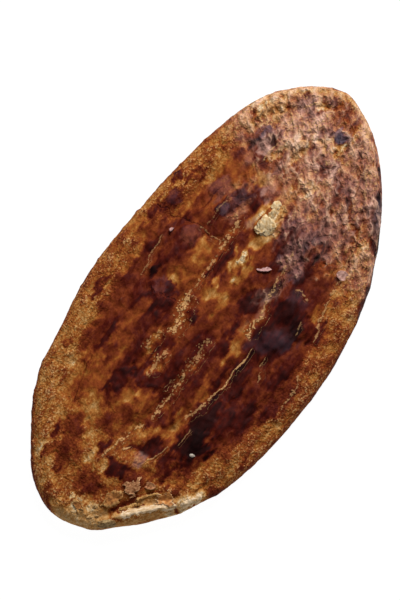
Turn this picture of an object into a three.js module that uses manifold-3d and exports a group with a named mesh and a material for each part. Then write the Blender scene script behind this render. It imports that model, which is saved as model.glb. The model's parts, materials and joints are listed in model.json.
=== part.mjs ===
// A pide: a long, flat, oval loaf baked on the hearth floor. Fingers pressed into the dough left a raised
// rim all round and furrows that run along the loaf, the heat puffed the ridges between them, the crust
// wrinkled at the pointed end, and the rim split open on one side of the blunt end.
//
// Millimetres. The loaf lies on its sole at Z = 0, with X along it towards the pointed end, Y across it
// and the origin under the middle of its outline. It is one solid: the sesame seed and the curled chips
// of crust that stick to the top are fused to it.
import * as THREE from "three";
import { ImprovedNoise } from "three/addons/math/ImprovedNoise.js";
import { mergeVertices } from "three/addons/utils/BufferGeometryUtils.js";
import Module from "manifold-3d";

const wasm = await Module();
wasm.setup();

// ---- Driving dimensions ------------------------------------------------------------------------------
const HALF_LENGTH = 150;
const HALF_WIDTH = 73.8;
const WAIST_HEIGHT = 5.5; // where the side bulges out furthest
const RIM_HEIGHT = 13; // crest of the rim
const CROWN = 2.6; // how much the middle stands above the rim
const RIM_ROUND = 10.5; // how far in from the outline the rim rounds over
const RIM_WIDTH = 17; // from the outline to the groove behind the rim
const RIM_GROOVE = 1.3; // depth of that groove
const GROOVE_WIDTH = 4.5; // from the middle of the groove to where it has mostly run out
const SOLE_INSET = 6; // how far the flat sole lies in from the outline

// The outline, anticlockwise from the pointed end.
const OUTLINE = [
  [150, 9.5], [145, 24], [131, 41], [112, 53.5], [80, 63], [40, 69.5], [0, 73.6], [-30, 73.6],
  [-62, 69], [-92, 63.5], [-118, 49], [-142, 30], [-150, 12], [-147, -7], [-133, -26], [-110, -47],
  [-80, -62.5], [-45, -70.4], [-5, -73.8], [30, -71.6], [62, -64.5], [96, -49.3], [128, -26.5], [145, -4.5],
];

// Finger furrows, each pressed in along a line that passes through its points. A line's width is measured
// from its middle to where it has mostly run out.
const FURROWS = [
  { path: [[-88, 43], [-50, 49.5], [0, 48.5], [62, 46]], depth: 2.4, width: 4.5 },
  { path: [[-52, 14], [-20, 14.8], [10, 17.2], [45, 18], [86, 16]], depth: 2.8, width: 4.5 },
  { path: [[-90, 1], [-70, -5.5], [-40, -7], [12, -8]], depth: 2.4, width: 4.5 },
  { path: [[-76, -19], [-45, -26.5], [-8, -31]], depth: 2.8, width: 4 },
  { path: [[-6, -24.5], [16, -21.5], [52, -19]], depth: 2.2, width: 4 },
  { path: [[-44, -38.5], [-8, -38.5]], depth: 1.6, width: 3.5 },
  { path: [[-30, -61], [-14, -62.5], [15, -54.5], [80, -41.5], [108, -28]], depth: 1.5, width: 3.5 },
  { path: [[-96, -49], [-70, -58.5], [-36, -65]], depth: 1.2, width: 3.5 },
];

// Cross folds, where the skin buckled over the ridges.
const FOLDS = [
  { path: [[29, 61], [28.5, 50], [31.5, 40], [29, 19]], depth: 1.3, width: 3.2 },
  { path: [[-10, 46], [-6.5, 31], [-9, 20]], depth: 1.2, width: 3.2 },
  { path: [[-97, -4], [-86, -17]], depth: 1.7, width: 3.2 },
  { path: [[102, 30], [124, 26]], depth: 1.1, width: 3.2 },
  { path: [[92, 12], [112, 8], [122, 14]], depth: 1.1, width: 3.2 },
  { path: [[96, -4], [105, -14], [116, -12]], depth: 1.4, width: 3.2 },
  { path: [[72, -29], [90, -19], [101, -13]], depth: 1.3, width: 3.2 },
];

// Puffs and blisters of crust: centre, half length, half width, height, and the turn in degrees.
const PUFFS = [
  { at: [-64, 24], half: [18, 8], height: 1.8, turn: 4 },
  { at: [-30, 28], half: [19, 9], height: 1.8, turn: 8 },
  { at: [-44, 1], half: [20, 8], height: 1.5, turn: 0 },
  { at: [-17, 5], half: [9, 6], height: 1, turn: 0 },
  { at: [10, 36], half: [16, 9], height: 1.3, turn: -14 },
  { at: [24, 38], half: [7, 6], height: 1.1, turn: 0 },
  { at: [46, 56], half: [15, 5], height: 0.9, turn: -3 },
  { at: [50, 30], half: [15, 6], height: 1.4, turn: -8 },
  { at: [62, 18.5], half: [10, 5], height: 1, turn: 4 },
  { at: [-68, -32], half: [19, 9], height: 2.2, turn: -6 },
  { at: [2, -38], half: [18, 9], height: 2, turn: 4 },
  { at: [22, -37], half: [10, 8], height: 1.6, turn: 0 },
  { at: [14, -49], half: [8, 5], height: 1.2, turn: 0 },
  { at: [-20, -52], half: [24, 7], height: 1.2, turn: 0 },
  { at: [57, -22], half: [15, 11], height: 2, turn: 6 },
  { at: [52, 4], half: [6.5, 5.5], height: 2.2, turn: 0 },
  { at: [60, 4], half: [4, 5], height: 1.5, turn: 0 },
  { at: [66.5, 5], half: [3.5, 3.5], height: 1.2, turn: 0 },
  { at: [30, 1], half: [4, 5], height: 1.1, turn: 0 },
  { at: [99, 35], half: [7, 6], height: 1.4, turn: 0 },
  { at: [123, -5], half: [7, 6], height: 1.5, turn: -40 },
  { at: [97, -24], half: [14, 8], height: 1.2, turn: 20 },
  { at: [-109, -6], half: [6, 9], height: 1.2, turn: 0 },
  { at: [-100, -12], half: [9, 3.5], height: 1.1, turn: -62 },
  { at: [-71, 5], half: [7, 6], height: 1, turn: 0 },
  { at: [-114, 26], half: [12, 9], height: 1.1, turn: 10 },
  { at: [-124, -11.5], half: [8, 4.5], height: 1.3, turn: -30 },
  { at: [-113.5, -18], half: [7.5, 5], height: 1.3, turn: -30 },
  { at: [-105.5, -37], half: [4, 6], height: 1.1, turn: 20 },
  { at: [138, 5], half: [7, 11], height: -1.5, turn: 0 },
  { at: [-124, 4], half: [7, 9], height: -0.8, turn: 0 },
];

// The split in the rim: the gap follows this line, and the crumb that shows in it stands up along its
// outer side.
const SPLIT = { path: [[-137, -11], [-128, -17.5], [-115, -30], [-104, -41]], depth: 2.8, width: 2.8 };
const CRUMB = { path: [[-141, -13.5], [-131, -21.5], [-118, -33.5], [-97, -52]], depth: -1.7, width: 2.6 };

// Wrinkles: a fine crinkle that grows towards the pointed end, over the unevenness of the whole crust.
const WRINKLE_HEIGHT = 1.3;
const WRINKLE_SPACING = 8.5;
const WRINKLES_FROM = 62; // X where they begin
const WRINKLES_FULL = 96; // X where they reach their full height
const UNEVEN_HEIGHT = 0.9;
const UNEVEN_SPACING = 24;
const EDGE_WOBBLE = 0.5;
const EDGE_WOBBLE_SPACING = 14;

// What sticks to the crust.
const SEED = { at: [-80, -35], size: [3.7, 2.3, 1.5], turn: -77, lift: 0.25, sides: 6 };
const CHIPS = [
  { at: [31.5, -9.5], size: [6.6, 2.8, 2], turn: -62, lift: 0.5, sides: 8 },
  { at: [53, -49], size: [6, 4.6, 1.8], turn: 80, lift: 0.3, sides: 8 },
  { at: [-136, 7], size: [4.4, 3, 1.8], turn: 30, lift: 0.3, sides: 8 },
  { at: [-132.5, -7.5], size: [3.6, 3, 2], turn: 0, lift: 0.4, sides: 8 },
  { at: [-107, -26.5], size: [5, 3.4, 1.6], turn: -60, lift: 0.3, sides: 8 },
];
const MORSEL_RINGS = 4;

// How finely the surface is divided.
const CELLS_ALONG = 78;
const CELLS_ACROSS = 48;
const SIDE_RINGS = 4;
const CELL_EASE = 0.2; // cells are this much larger in the middle than at the rim
const OUTLINE_STEPS = 720;
const PATH_STEPS = 24;

const noise = new ImprovedNoise();

// ---- Curves and distances ----------------------------------------------------------------------------

/** Points spaced evenly on a smooth curve through plan points [x, y]. */
function curveThrough(points, closed, steps) {
  const knots = points.map(([x, y]) => new THREE.Vector3(x, y, 0));
  return new THREE.CatmullRomCurve3(knots, closed, "centripetal").getSpacedPoints(steps);
}

/** The distance in plan from (x, y) to a run of points. */
function distanceTo(run, x, y) {
  let nearest = Infinity;
  for (let i = 1; i < run.length; i++) {
    const [p, q] = [run[i - 1], run[i]];
    const [dx, dy] = [q.x - p.x, q.y - p.y];
    const along = THREE.MathUtils.clamp(((x - p.x) * dx + (y - p.y) * dy) / (dx * dx + dy * dy), 0, 1);
    nearest = Math.min(nearest, Math.hypot(x - p.x - along * dx, y - p.y - along * dy));
  }
  return nearest;
}

const outline = curveThrough(OUTLINE, true, OUTLINE_STEPS);

// The outline as seen from the origin, in a plan squeezed so that the loaf is about as wide as it is long.
const sweep = outline
  .slice(1)
  .map((p) => new THREE.Vector2(p.x / HALF_LENGTH, p.y / HALF_WIDTH))
  .map((p) => ({ angle: p.angle(), reach: p.length() }))
  .sort((p, q) => p.angle - q.angle);

/** How far the outline lies from the origin at an angle of the squeezed plan. */
function reachAt(angle) {
  const wanted = THREE.MathUtils.euclideanModulo(angle, 2 * Math.PI);
  const next = Math.max(sweep.findIndex((p) => p.angle >= wanted), 0);
  const [before, after] = [sweep.at(next - 1), sweep[next]];
  const gap = THREE.MathUtils.euclideanModulo(after.angle - before.angle, 2 * Math.PI);
  const share = THREE.MathUtils.euclideanModulo(wanted - before.angle, 2 * Math.PI) / gap;
  return THREE.MathUtils.lerp(before.reach, after.reach, share);
}

// ---- The relief of the crust -------------------------------------------------------------------------

const pressed = [...FURROWS, ...FOLDS, SPLIT, CRUMB].map((line) => ({
  ...line,
  run: curveThrough(line.path, false, PATH_STEPS),
}));

/** What the furrows, the folds and the split take away at (x, y). */
function pressedDepth(x, y) {
  return pressed.reduce((sum, line) => {
    const off = distanceTo(line.run, x, y) / line.width;
    return sum + line.depth * Math.exp(-off * off);
  }, 0);
}

/** What the puffs and blisters add at (x, y): each is a cushion that is flat on top and steep at its side. */
function puffHeight(x, y) {
  return PUFFS.reduce((sum, { at, half, height, turn }) => {
    const local = new THREE.Vector2(x - at[0], y - at[1]).rotateAround(
      new THREE.Vector2(),
      -THREE.MathUtils.degToRad(turn),
    );
    const off = Math.hypot(local.x / half[0], local.y / half[1]);
    return sum + height * Math.exp(-(off ** 3));
  }, 0);
}

/** The crinkles and the unevenness of the baked skin at (x, y). */
function crinkle(x, y) {
  const [u, v] = [x / WRINKLE_SPACING, y / WRINKLE_SPACING];
  const creased = 0.5 - 2 * Math.abs(noise.noise(u, v, 0.5)) + noise.noise(1.9 * u, 1.9 * v, 3.5);
  const share = THREE.MathUtils.smoothstep(x, WRINKLES_FROM, WRINKLES_FULL);
  const uneven = noise.noise(x / UNEVEN_SPACING, y / UNEVEN_SPACING, 7.5);
  return WRINKLE_HEIGHT * share * creased + UNEVEN_HEIGHT * uneven;
}

/** The height of the top crust at (x, y). */
function crustHeight(x, y) {
  const inset = distanceTo(outline, x, y);
  const over = 1 - Math.min(inset / RIM_ROUND, 1);
  const shoulder = Math.sqrt(1 - over * over);
  const crown = CROWN * (1 - (x / HALF_LENGTH) ** 2 - (y / HALF_WIDTH) ** 2);
  const groove = RIM_GROOVE * Math.exp(-(((inset - RIM_WIDTH) / GROOVE_WIDTH) ** 2));
  const relief = puffHeight(x, y) - pressedDepth(x, y) + crinkle(x, y);
  return WAIST_HEIGHT + (RIM_HEIGHT - WAIST_HEIGHT + crown - groove + relief) * shoulder;
}

// ---- The loaf ----------------------------------------------------------------------------------------

/** Where a point (a, b) of the square from -1 to 1 lies in plan: the square is rounded to the outline. */
function planAt(a, b) {
  const [s, t] = [a, b].map((c) => c * (1 + CELL_EASE - CELL_EASE * c * c));
  const disc = new THREE.Vector2(s * Math.sqrt(1 - (t * t) / 2), t * Math.sqrt(1 - (s * s) / 2));
  const reach = disc.length() === 0 ? 0 : reachAt(disc.angle());
  const [x, y] = [disc.x * reach * HALF_LENGTH, disc.y * reach * HALF_WIDTH];
  const wobble = noise.noise(x / EDGE_WOBBLE_SPACING, y / EDGE_WOBBLE_SPACING, 11.5);
  const grown = 1 + (EDGE_WOBBLE * wobble * disc.lengthSq()) / HALF_WIDTH;
  return [x * grown, y * grown];
}

/** The loaf's surface: a grid for the top crust, rings that turn under for the side, and a flat sole. */
function loafGeometry() {
  const vertices = [];
  const faces = [];
  const topIndex = (i, j) => j * (CELLS_ALONG + 1) + i;

  for (let j = 0; j <= CELLS_ACROSS; j++)
    for (let i = 0; i <= CELLS_ALONG; i++) {
      const [a, b] = [(2 * i) / CELLS_ALONG - 1, (2 * j) / CELLS_ACROSS - 1];
      const [x, y] = planAt(a, b);
      const onEdge = Math.max(Math.abs(a), Math.abs(b)) === 1;
      vertices.push([x, y, onEdge ? WAIST_HEIGHT : crustHeight(x, y)]);
    }
  for (let j = 0; j < CELLS_ACROSS; j++)
    for (let i = 0; i < CELLS_ALONG; i++) {
      const corners = [topIndex(i, j), topIndex(i + 1, j), topIndex(i + 1, j + 1), topIndex(i, j + 1)];
      const outwards = i < CELLS_ALONG / 2 === j < CELLS_ACROSS / 2;
      const [p, q, r, s] = outwards ? corners : [...corners.slice(1), corners[0]];
      faces.push([p, q, r], [p, r, s]);
    }

  // The grid's edge, anticlockwise.
  let ring = [];
  for (let i = 0; i < CELLS_ALONG; i++) ring.push(topIndex(i, 0));
  for (let j = 0; j < CELLS_ACROSS; j++) ring.push(topIndex(CELLS_ALONG, j));
  for (let i = CELLS_ALONG; i > 0; i--) ring.push(topIndex(i, CELLS_ACROSS));
  for (let j = CELLS_ACROSS; j > 0; j--) ring.push(topIndex(0, j));

  const waist = ring.map((index) => vertices[index]);
  for (let k = 1; k <= SIDE_RINGS; k++) {
    const turn = ((k / SIDE_RINGS) * Math.PI) / 2;
    const height = WAIST_HEIGHT * (1 - Math.sin(turn));
    const under = waist.map(([x, y]) => {
      const kept = 1 - (SOLE_INSET * (1 - Math.cos(turn))) / Math.hypot(x, y);
      return vertices.push([x * kept, y * kept, height]) - 1;
    });
    ring.forEach((index, n) => {
      const after = (n + 1) % ring.length;
      faces.push([index, under[n], under[after]], [index, under[after], ring[after]]);
    });
    ring = under;
  }

  const sole = ring.map((index) => new THREE.Vector2(vertices[index][0], vertices[index][1]));
  for (const [p, q, r] of THREE.ShapeUtils.triangulateShape(sole, []))
    faces.push([ring[p], ring[r], ring[q]]);

  return new THREE.BufferGeometry()
    .setAttribute("position", new THREE.Float32BufferAttribute(vertices.flat(), 3))
    .setIndex(faces.flat());
}

/** A grain or chip of the given size that lies on the crust, a little sunk in. */
function morselGeometry({ at: [x, y], size, turn, lift, sides }) {
  return new THREE.SphereGeometry(0.5, sides, MORSEL_RINGS)
    .rotateX(Math.PI / 2)
    .scale(...size)
    .rotateZ(THREE.MathUtils.degToRad(turn))
    .translate(x, y, crustHeight(x, y) + lift);
}

// ---- Fusing ------------------------------------------------------------------------------------------

/** A closed geometry as a solid that can be joined. */
function solidOf(geometry) {
  const bare = geometry.clone();
  bare.deleteAttribute("normal");
  bare.deleteAttribute("uv");
  const merged = mergeVertices(bare, 1e-4);
  const vertProperties = merged.attributes.position.array;
  const triVerts = new Uint32Array(merged.index.array);
  return new wasm.Manifold(new wasm.Mesh({ numProp: 3, vertProperties, triVerts }));
}

/** A solid as a geometry. */
function geometryOf(solid) {
  const { vertProperties, triVerts } = solid.getMesh();
  const geometry = new THREE.BufferGeometry()
    .setAttribute("position", new THREE.BufferAttribute(vertProperties, 3))
    .setIndex(new THREE.BufferAttribute(triVerts, 1));
  geometry.computeVertexNormals();
  return geometry;
}

const fused = [SEED, ...CHIPS]
  .map((morsel) => solidOf(morselGeometry(morsel)))
  .reduce((whole, morsel) => whole.add(morsel), solidOf(loafGeometry()));

const crust = new THREE.MeshStandardMaterial({ color: "#7a4420", roughness: 0.62, metalness: 0 });
const pide = new THREE.Mesh(geometryOf(fused), crust);
pide.name = "pide";

const part = new THREE.Group();
part.add(pide);

export default part;
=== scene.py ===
"""Dresses the pide: the baked crust with its scorches, creases and wrinkles, the torn rim and its loose
skin, the seed, the blisters and the loose chips, then the floor, the light and the camera.

The marks on the crust are placed in the loaf's own millimetres: X along the loaf towards its pointed end,
Y across it and Z up. Blender's meshes are in metres.
"""

import json
import logging
import math
from dataclasses import dataclass, field, replace
from enum import Enum
from typing import ClassVar

import bpy
import numpy as np
from mathutils import Matrix, Vector, kdtree, noise

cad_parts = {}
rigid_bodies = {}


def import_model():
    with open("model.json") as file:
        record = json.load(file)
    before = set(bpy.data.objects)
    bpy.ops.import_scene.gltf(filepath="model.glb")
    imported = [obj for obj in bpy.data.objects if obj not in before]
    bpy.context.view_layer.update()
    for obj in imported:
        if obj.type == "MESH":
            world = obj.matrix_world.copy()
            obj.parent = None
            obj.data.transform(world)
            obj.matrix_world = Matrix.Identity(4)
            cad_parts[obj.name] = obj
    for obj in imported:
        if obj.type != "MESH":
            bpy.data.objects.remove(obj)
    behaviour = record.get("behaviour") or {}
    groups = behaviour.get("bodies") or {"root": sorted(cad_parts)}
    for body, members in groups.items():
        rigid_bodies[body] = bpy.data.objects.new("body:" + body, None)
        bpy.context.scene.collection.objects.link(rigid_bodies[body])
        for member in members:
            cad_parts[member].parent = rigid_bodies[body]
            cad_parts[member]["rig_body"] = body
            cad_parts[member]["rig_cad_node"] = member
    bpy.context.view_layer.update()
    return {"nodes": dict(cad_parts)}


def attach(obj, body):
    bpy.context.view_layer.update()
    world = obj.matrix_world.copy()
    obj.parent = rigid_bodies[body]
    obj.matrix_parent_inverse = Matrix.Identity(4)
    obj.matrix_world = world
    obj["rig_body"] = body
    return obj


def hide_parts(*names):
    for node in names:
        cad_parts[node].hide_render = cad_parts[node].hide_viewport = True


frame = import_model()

MM = 0.001
ROOT_BODY = "root"
LOAF_NODE = "pide"
RIM_MARK = "rim"
# Points past the outline look for the loaf's side at this height, in mm.
SIDE_HEIGHT = 7.0
# How often a flake is cleared of corners at which parts of it only touch: one clearing can leave more.
PINCH_ROUNDS = 4

log = logging.getLogger("pide")


# ---- Small helpers -----------------------------------------------------------------------------------


def linear(hex_colour: str) -> tuple[float, float, float, float]:
    """Turns an sRGB hex colour into the linear colour that the shaders use.

    Args:
        hex_colour: the colour as "#rrggbb".

    Returns:
        Red, green, blue and an alpha of 1.
    """
    channels = [int(hex_colour[i : i + 2], 16) / 255 for i in (1, 3, 5)]
    red, green, blue = (
        c / 12.92 if c <= 0.04045 else ((c + 0.055) / 1.055) ** 2.4 for c in channels
    )
    return red, green, blue, 1.0


def ease(values: np.ndarray, low: float, high: float) -> np.ndarray:
    """Goes smoothly from 0 at low to 1 at high, where low may be the larger.

    Args:
        values: any numbers.
        low: where the result is 0.
        high: where the result is 1.

    Returns:
        Shares from 0 to 1.
    """
    share = np.clip((values - low) / (high - low), 0.0, 1.0)
    return share * share * (3.0 - 2.0 * share)


def add_node(
    tree: bpy.types.NodeTree,
    kind: str,
    settings: dict | None = None,
    inputs: dict | None = None,
) -> bpy.types.Node:
    """Adds a shader node with its settings, its values and its links.

    Args:
        tree: the material's node tree.
        kind: the node's Blender type.
        settings: properties of the node, by name.
        inputs: values for its sockets, or the output sockets that feed them, by name or number.

    Returns:
        The new node.
    """
    node = tree.nodes.new(kind)
    for name, value in (settings or {}).items():
        setattr(node, name, value)
    for name, value in (inputs or {}).items():
        if isinstance(value, bpy.types.NodeSocket):
            tree.links.new(value, node.inputs[name])
        else:
            node.inputs[name].default_value = value
    return node


def new_material(name: str) -> tuple[bpy.types.Material, bpy.types.NodeTree]:
    """Makes an empty node material.

    Args:
        name: the material's name.

    Returns:
        The material and its node tree.
    """
    material = bpy.data.materials.new(name)
    material.use_nodes = True
    material.node_tree.nodes.clear()
    return material, material.node_tree


def finish_material(tree: bpy.types.NodeTree, surface: dict) -> None:
    """Adds the Principled shader with the given inputs, and the output.

    Args:
        tree: the material's node tree.
        surface: the shader's inputs, by name.
    """
    shader = add_node(tree, "ShaderNodeBsdfPrincipled", inputs=surface)
    add_node(tree, "ShaderNodeOutputMaterial", inputs={"Surface": shader.outputs["BSDF"]})


def deselect_all() -> None:
    """Leaves object mode with nothing selected."""
    if bpy.context.object and bpy.context.object.mode != "OBJECT":
        bpy.ops.object.mode_set(mode="OBJECT")
    bpy.ops.object.select_all(action="DESELECT")


def make_active(piece: bpy.types.Object) -> None:
    """Selects one piece alone.

    Args:
        piece: the piece to work on.
    """
    deselect_all()
    piece.select_set(True)
    bpy.context.view_layer.objects.active = piece


def apply_modifier(piece: bpy.types.Object, kind: str, **settings: object) -> None:
    """Adds a modifier to a piece and applies it.

    Args:
        piece: the piece to change.
        kind: the modifier's Blender type.
        settings: properties of the modifier, by name.
    """
    make_active(piece)
    modifier = piece.modifiers.new(kind.lower(), kind)
    for name, value in settings.items():
        setattr(modifier, name, value)
    bpy.ops.object.modifier_apply(modifier=modifier.name)


def vertex_array(mesh: bpy.types.Mesh, what: str) -> np.ndarray:
    """Reads a three-number property of every vertex.

    Args:
        mesh: the mesh.
        what: "co" for places or "normal" for directions.

    Returns:
        One row for each vertex.
    """
    values = np.zeros(len(mesh.vertices) * 3, np.float32)
    mesh.vertices.foreach_get(what, values)
    return values.reshape(-1, 3).astype(float)


def store(mesh: bpy.types.Mesh, name: str, values: np.ndarray) -> None:
    """Stores one number for each vertex, for the materials to read.

    Args:
        mesh: the mesh.
        name: the attribute's name.
        values: one number for each vertex.
    """
    attribute = mesh.attributes.get(name) or mesh.attributes.new(name, "FLOAT", "POINT")
    attribute.data.foreach_set("value", values.astype(np.float32))


def settle(piece: bpy.types.Object, material: bpy.types.Material) -> None:
    """Dresses a finished piece, puts it on the loaf's body and reports it.

    Args:
        piece: the finished piece.
        material: the piece's finish.
    """
    piece.data.materials.clear()
    piece.data.materials.append(material)
    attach(piece, ROOT_BODY)
    log.info("%s: %d vertices", piece.name, len(piece.data.vertices))


# ---- How far the crust is baked ----------------------------------------------------------------------


class Bake(Enum):
    """How far dough has baked, from bare crumb to charred, with the colour it has then."""

    CRUMB = (0.00, "#dcc6a0")
    STRAW = (0.12, "#c4955c")
    GOLD = (0.25, "#a76d33")
    AMBER = (0.36, "#8f4e1f")
    TOASTED = (0.46, "#7e3b1a")
    RUSSET = (0.58, "#662811")
    MAROON = (0.72, "#481109")
    SCORCHED = (0.86, "#2c0b09")
    BURNT = (1.00, "#180707")

    @property
    def level(self) -> float:
        """The bake as a number from 0 to 1."""
        return self.value[0]

    @property
    def colour(self) -> str:
        """The crust's colour at this bake, as sRGB hex."""
        return self.value[1]


@dataclass(frozen=True)
class Patch:
    """A patch of crust: an ellipse in plan, in mm, turned by some degrees.

    level is its bake, or what the list that it is in says, and cover is how much of it shows.
    """

    at: tuple[float, float]
    half: tuple[float, float]
    level: float = 0.0
    turn: float = 0.0
    cover: float = 1.0

    def reach(self, plan: np.ndarray) -> np.ndarray:
        """Measures how far out points lie.

        Args:
            plan: the points in plan, in mm.

        Returns:
            0 at the middle of the patch and 1 on its edge.
        """
        angle = math.radians(self.turn)
        east, north = (plan - np.array(self.at)).T
        along = east * math.cos(angle) + north * math.sin(angle)
        across = north * math.cos(angle) - east * math.sin(angle)
        return np.hypot(along / self.half[0], across / self.half[1])


@dataclass(frozen=True)
class Crease:
    """A crease, crack, ridge or band along a line through plan points, in mm.

    level is the bake of a band, height is how far its middle stands up, or lies down where it is
    negative, cover is how much of it shows and crumbly is how far a thin line breaks up into crumbs.
    """

    path: tuple[tuple[float, float], ...]
    width: float
    level: float = 0.0
    height: float = 0.0
    cover: float = 1.0
    crumbly: float = 1.0

    def offset(self, plan: np.ndarray) -> tuple[np.ndarray, np.ndarray]:
        """Measures where points lie beside the line and past its ends.

        Args:
            plan: the points in plan, in mm.

        Returns:
            How far each one lies to the left of the line, negative to its right, and how far past an end.
        """
        beside = np.full(len(plan), np.inf)
        past = np.zeros(len(plan))
        for start, end in zip(self.path, self.path[1:]):
            first, step = np.array(start), np.array(end) - np.array(start)
            along = (plan - first) @ step / (step @ step)
            held = np.clip(along, 0.0, 1.0)
            away = plan - first - held[:, None] * step
            distance = np.linalg.norm(away, axis=1)
            closer = distance < np.abs(beside)
            left = np.where(step[0] * away[:, 1] >= step[1] * away[:, 0], 1.0, -1.0)
            beside = np.where(closer, left * distance, beside)
            past = np.where(closer, np.abs(along - held) * np.linalg.norm(step), past)
        return beside, past


@dataclass(frozen=True)
class Pattern:
    """An uneven pattern with features of about the given size in mm along X, Y and Z.

    Its features are soft lumps, or flat facets that meet in sharp folds.
    """

    size: tuple[float, float, float]
    octaves: int = 3
    shift: float = 0.0
    folded: bool = False

    def at(self, points: np.ndarray) -> np.ndarray:
        """Works out the pattern.

        Args:
            points: the points, in mm.

        Returns:
            Its value at each point, spread about 0 with a standard deviation of 1.
        """
        places = (points / np.array(self.size) + self.shift).tolist()
        if self.folded:
            values = np.array([noise.voronoi(place, distance_metric="MANHATTAN")[0][0] for place in places])
        else:
            values = np.array([noise.fractal(place, 0.7, 2.0, self.octaves) for place in places])
        return (values - values.mean()) / values.std()


# Broad zones first, and the marks on them after: each one is painted over what came before.
ZONES = (
    Patch((-112, 18), (58, 62), 0.34),
    Patch((-104, 48), (36, 24), 0.29, turn=24),
    Patch((-60, 60), (60, 12), 0.31, turn=8),
    Patch((0, 68), (70, 7), 0.33),
    Patch((10, 54), (46, 6), 0.50),
    Patch((6, 24), (18, 9), 0.45),
    Patch((60, 34), (22, 14), 0.44),
    Patch((80, 56), (60, 12), 0.36, turn=-14),
    Patch((118, 36), (40, 18), 0.32, turn=-35),
    Patch((110, 4), (44, 40), 0.36),
    Patch((-75, -52), (40, 8), 0.38, turn=-18),
    Patch((-10, -66), (75, 8), 0.42, turn=-2),
    Patch((-30, -69), (34, 5), 0.39),
    Patch((62, -54), (40, 9), 0.36, turn=14),
    Patch((38, -60), (20, 6), 0.34, turn=6),
)

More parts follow.
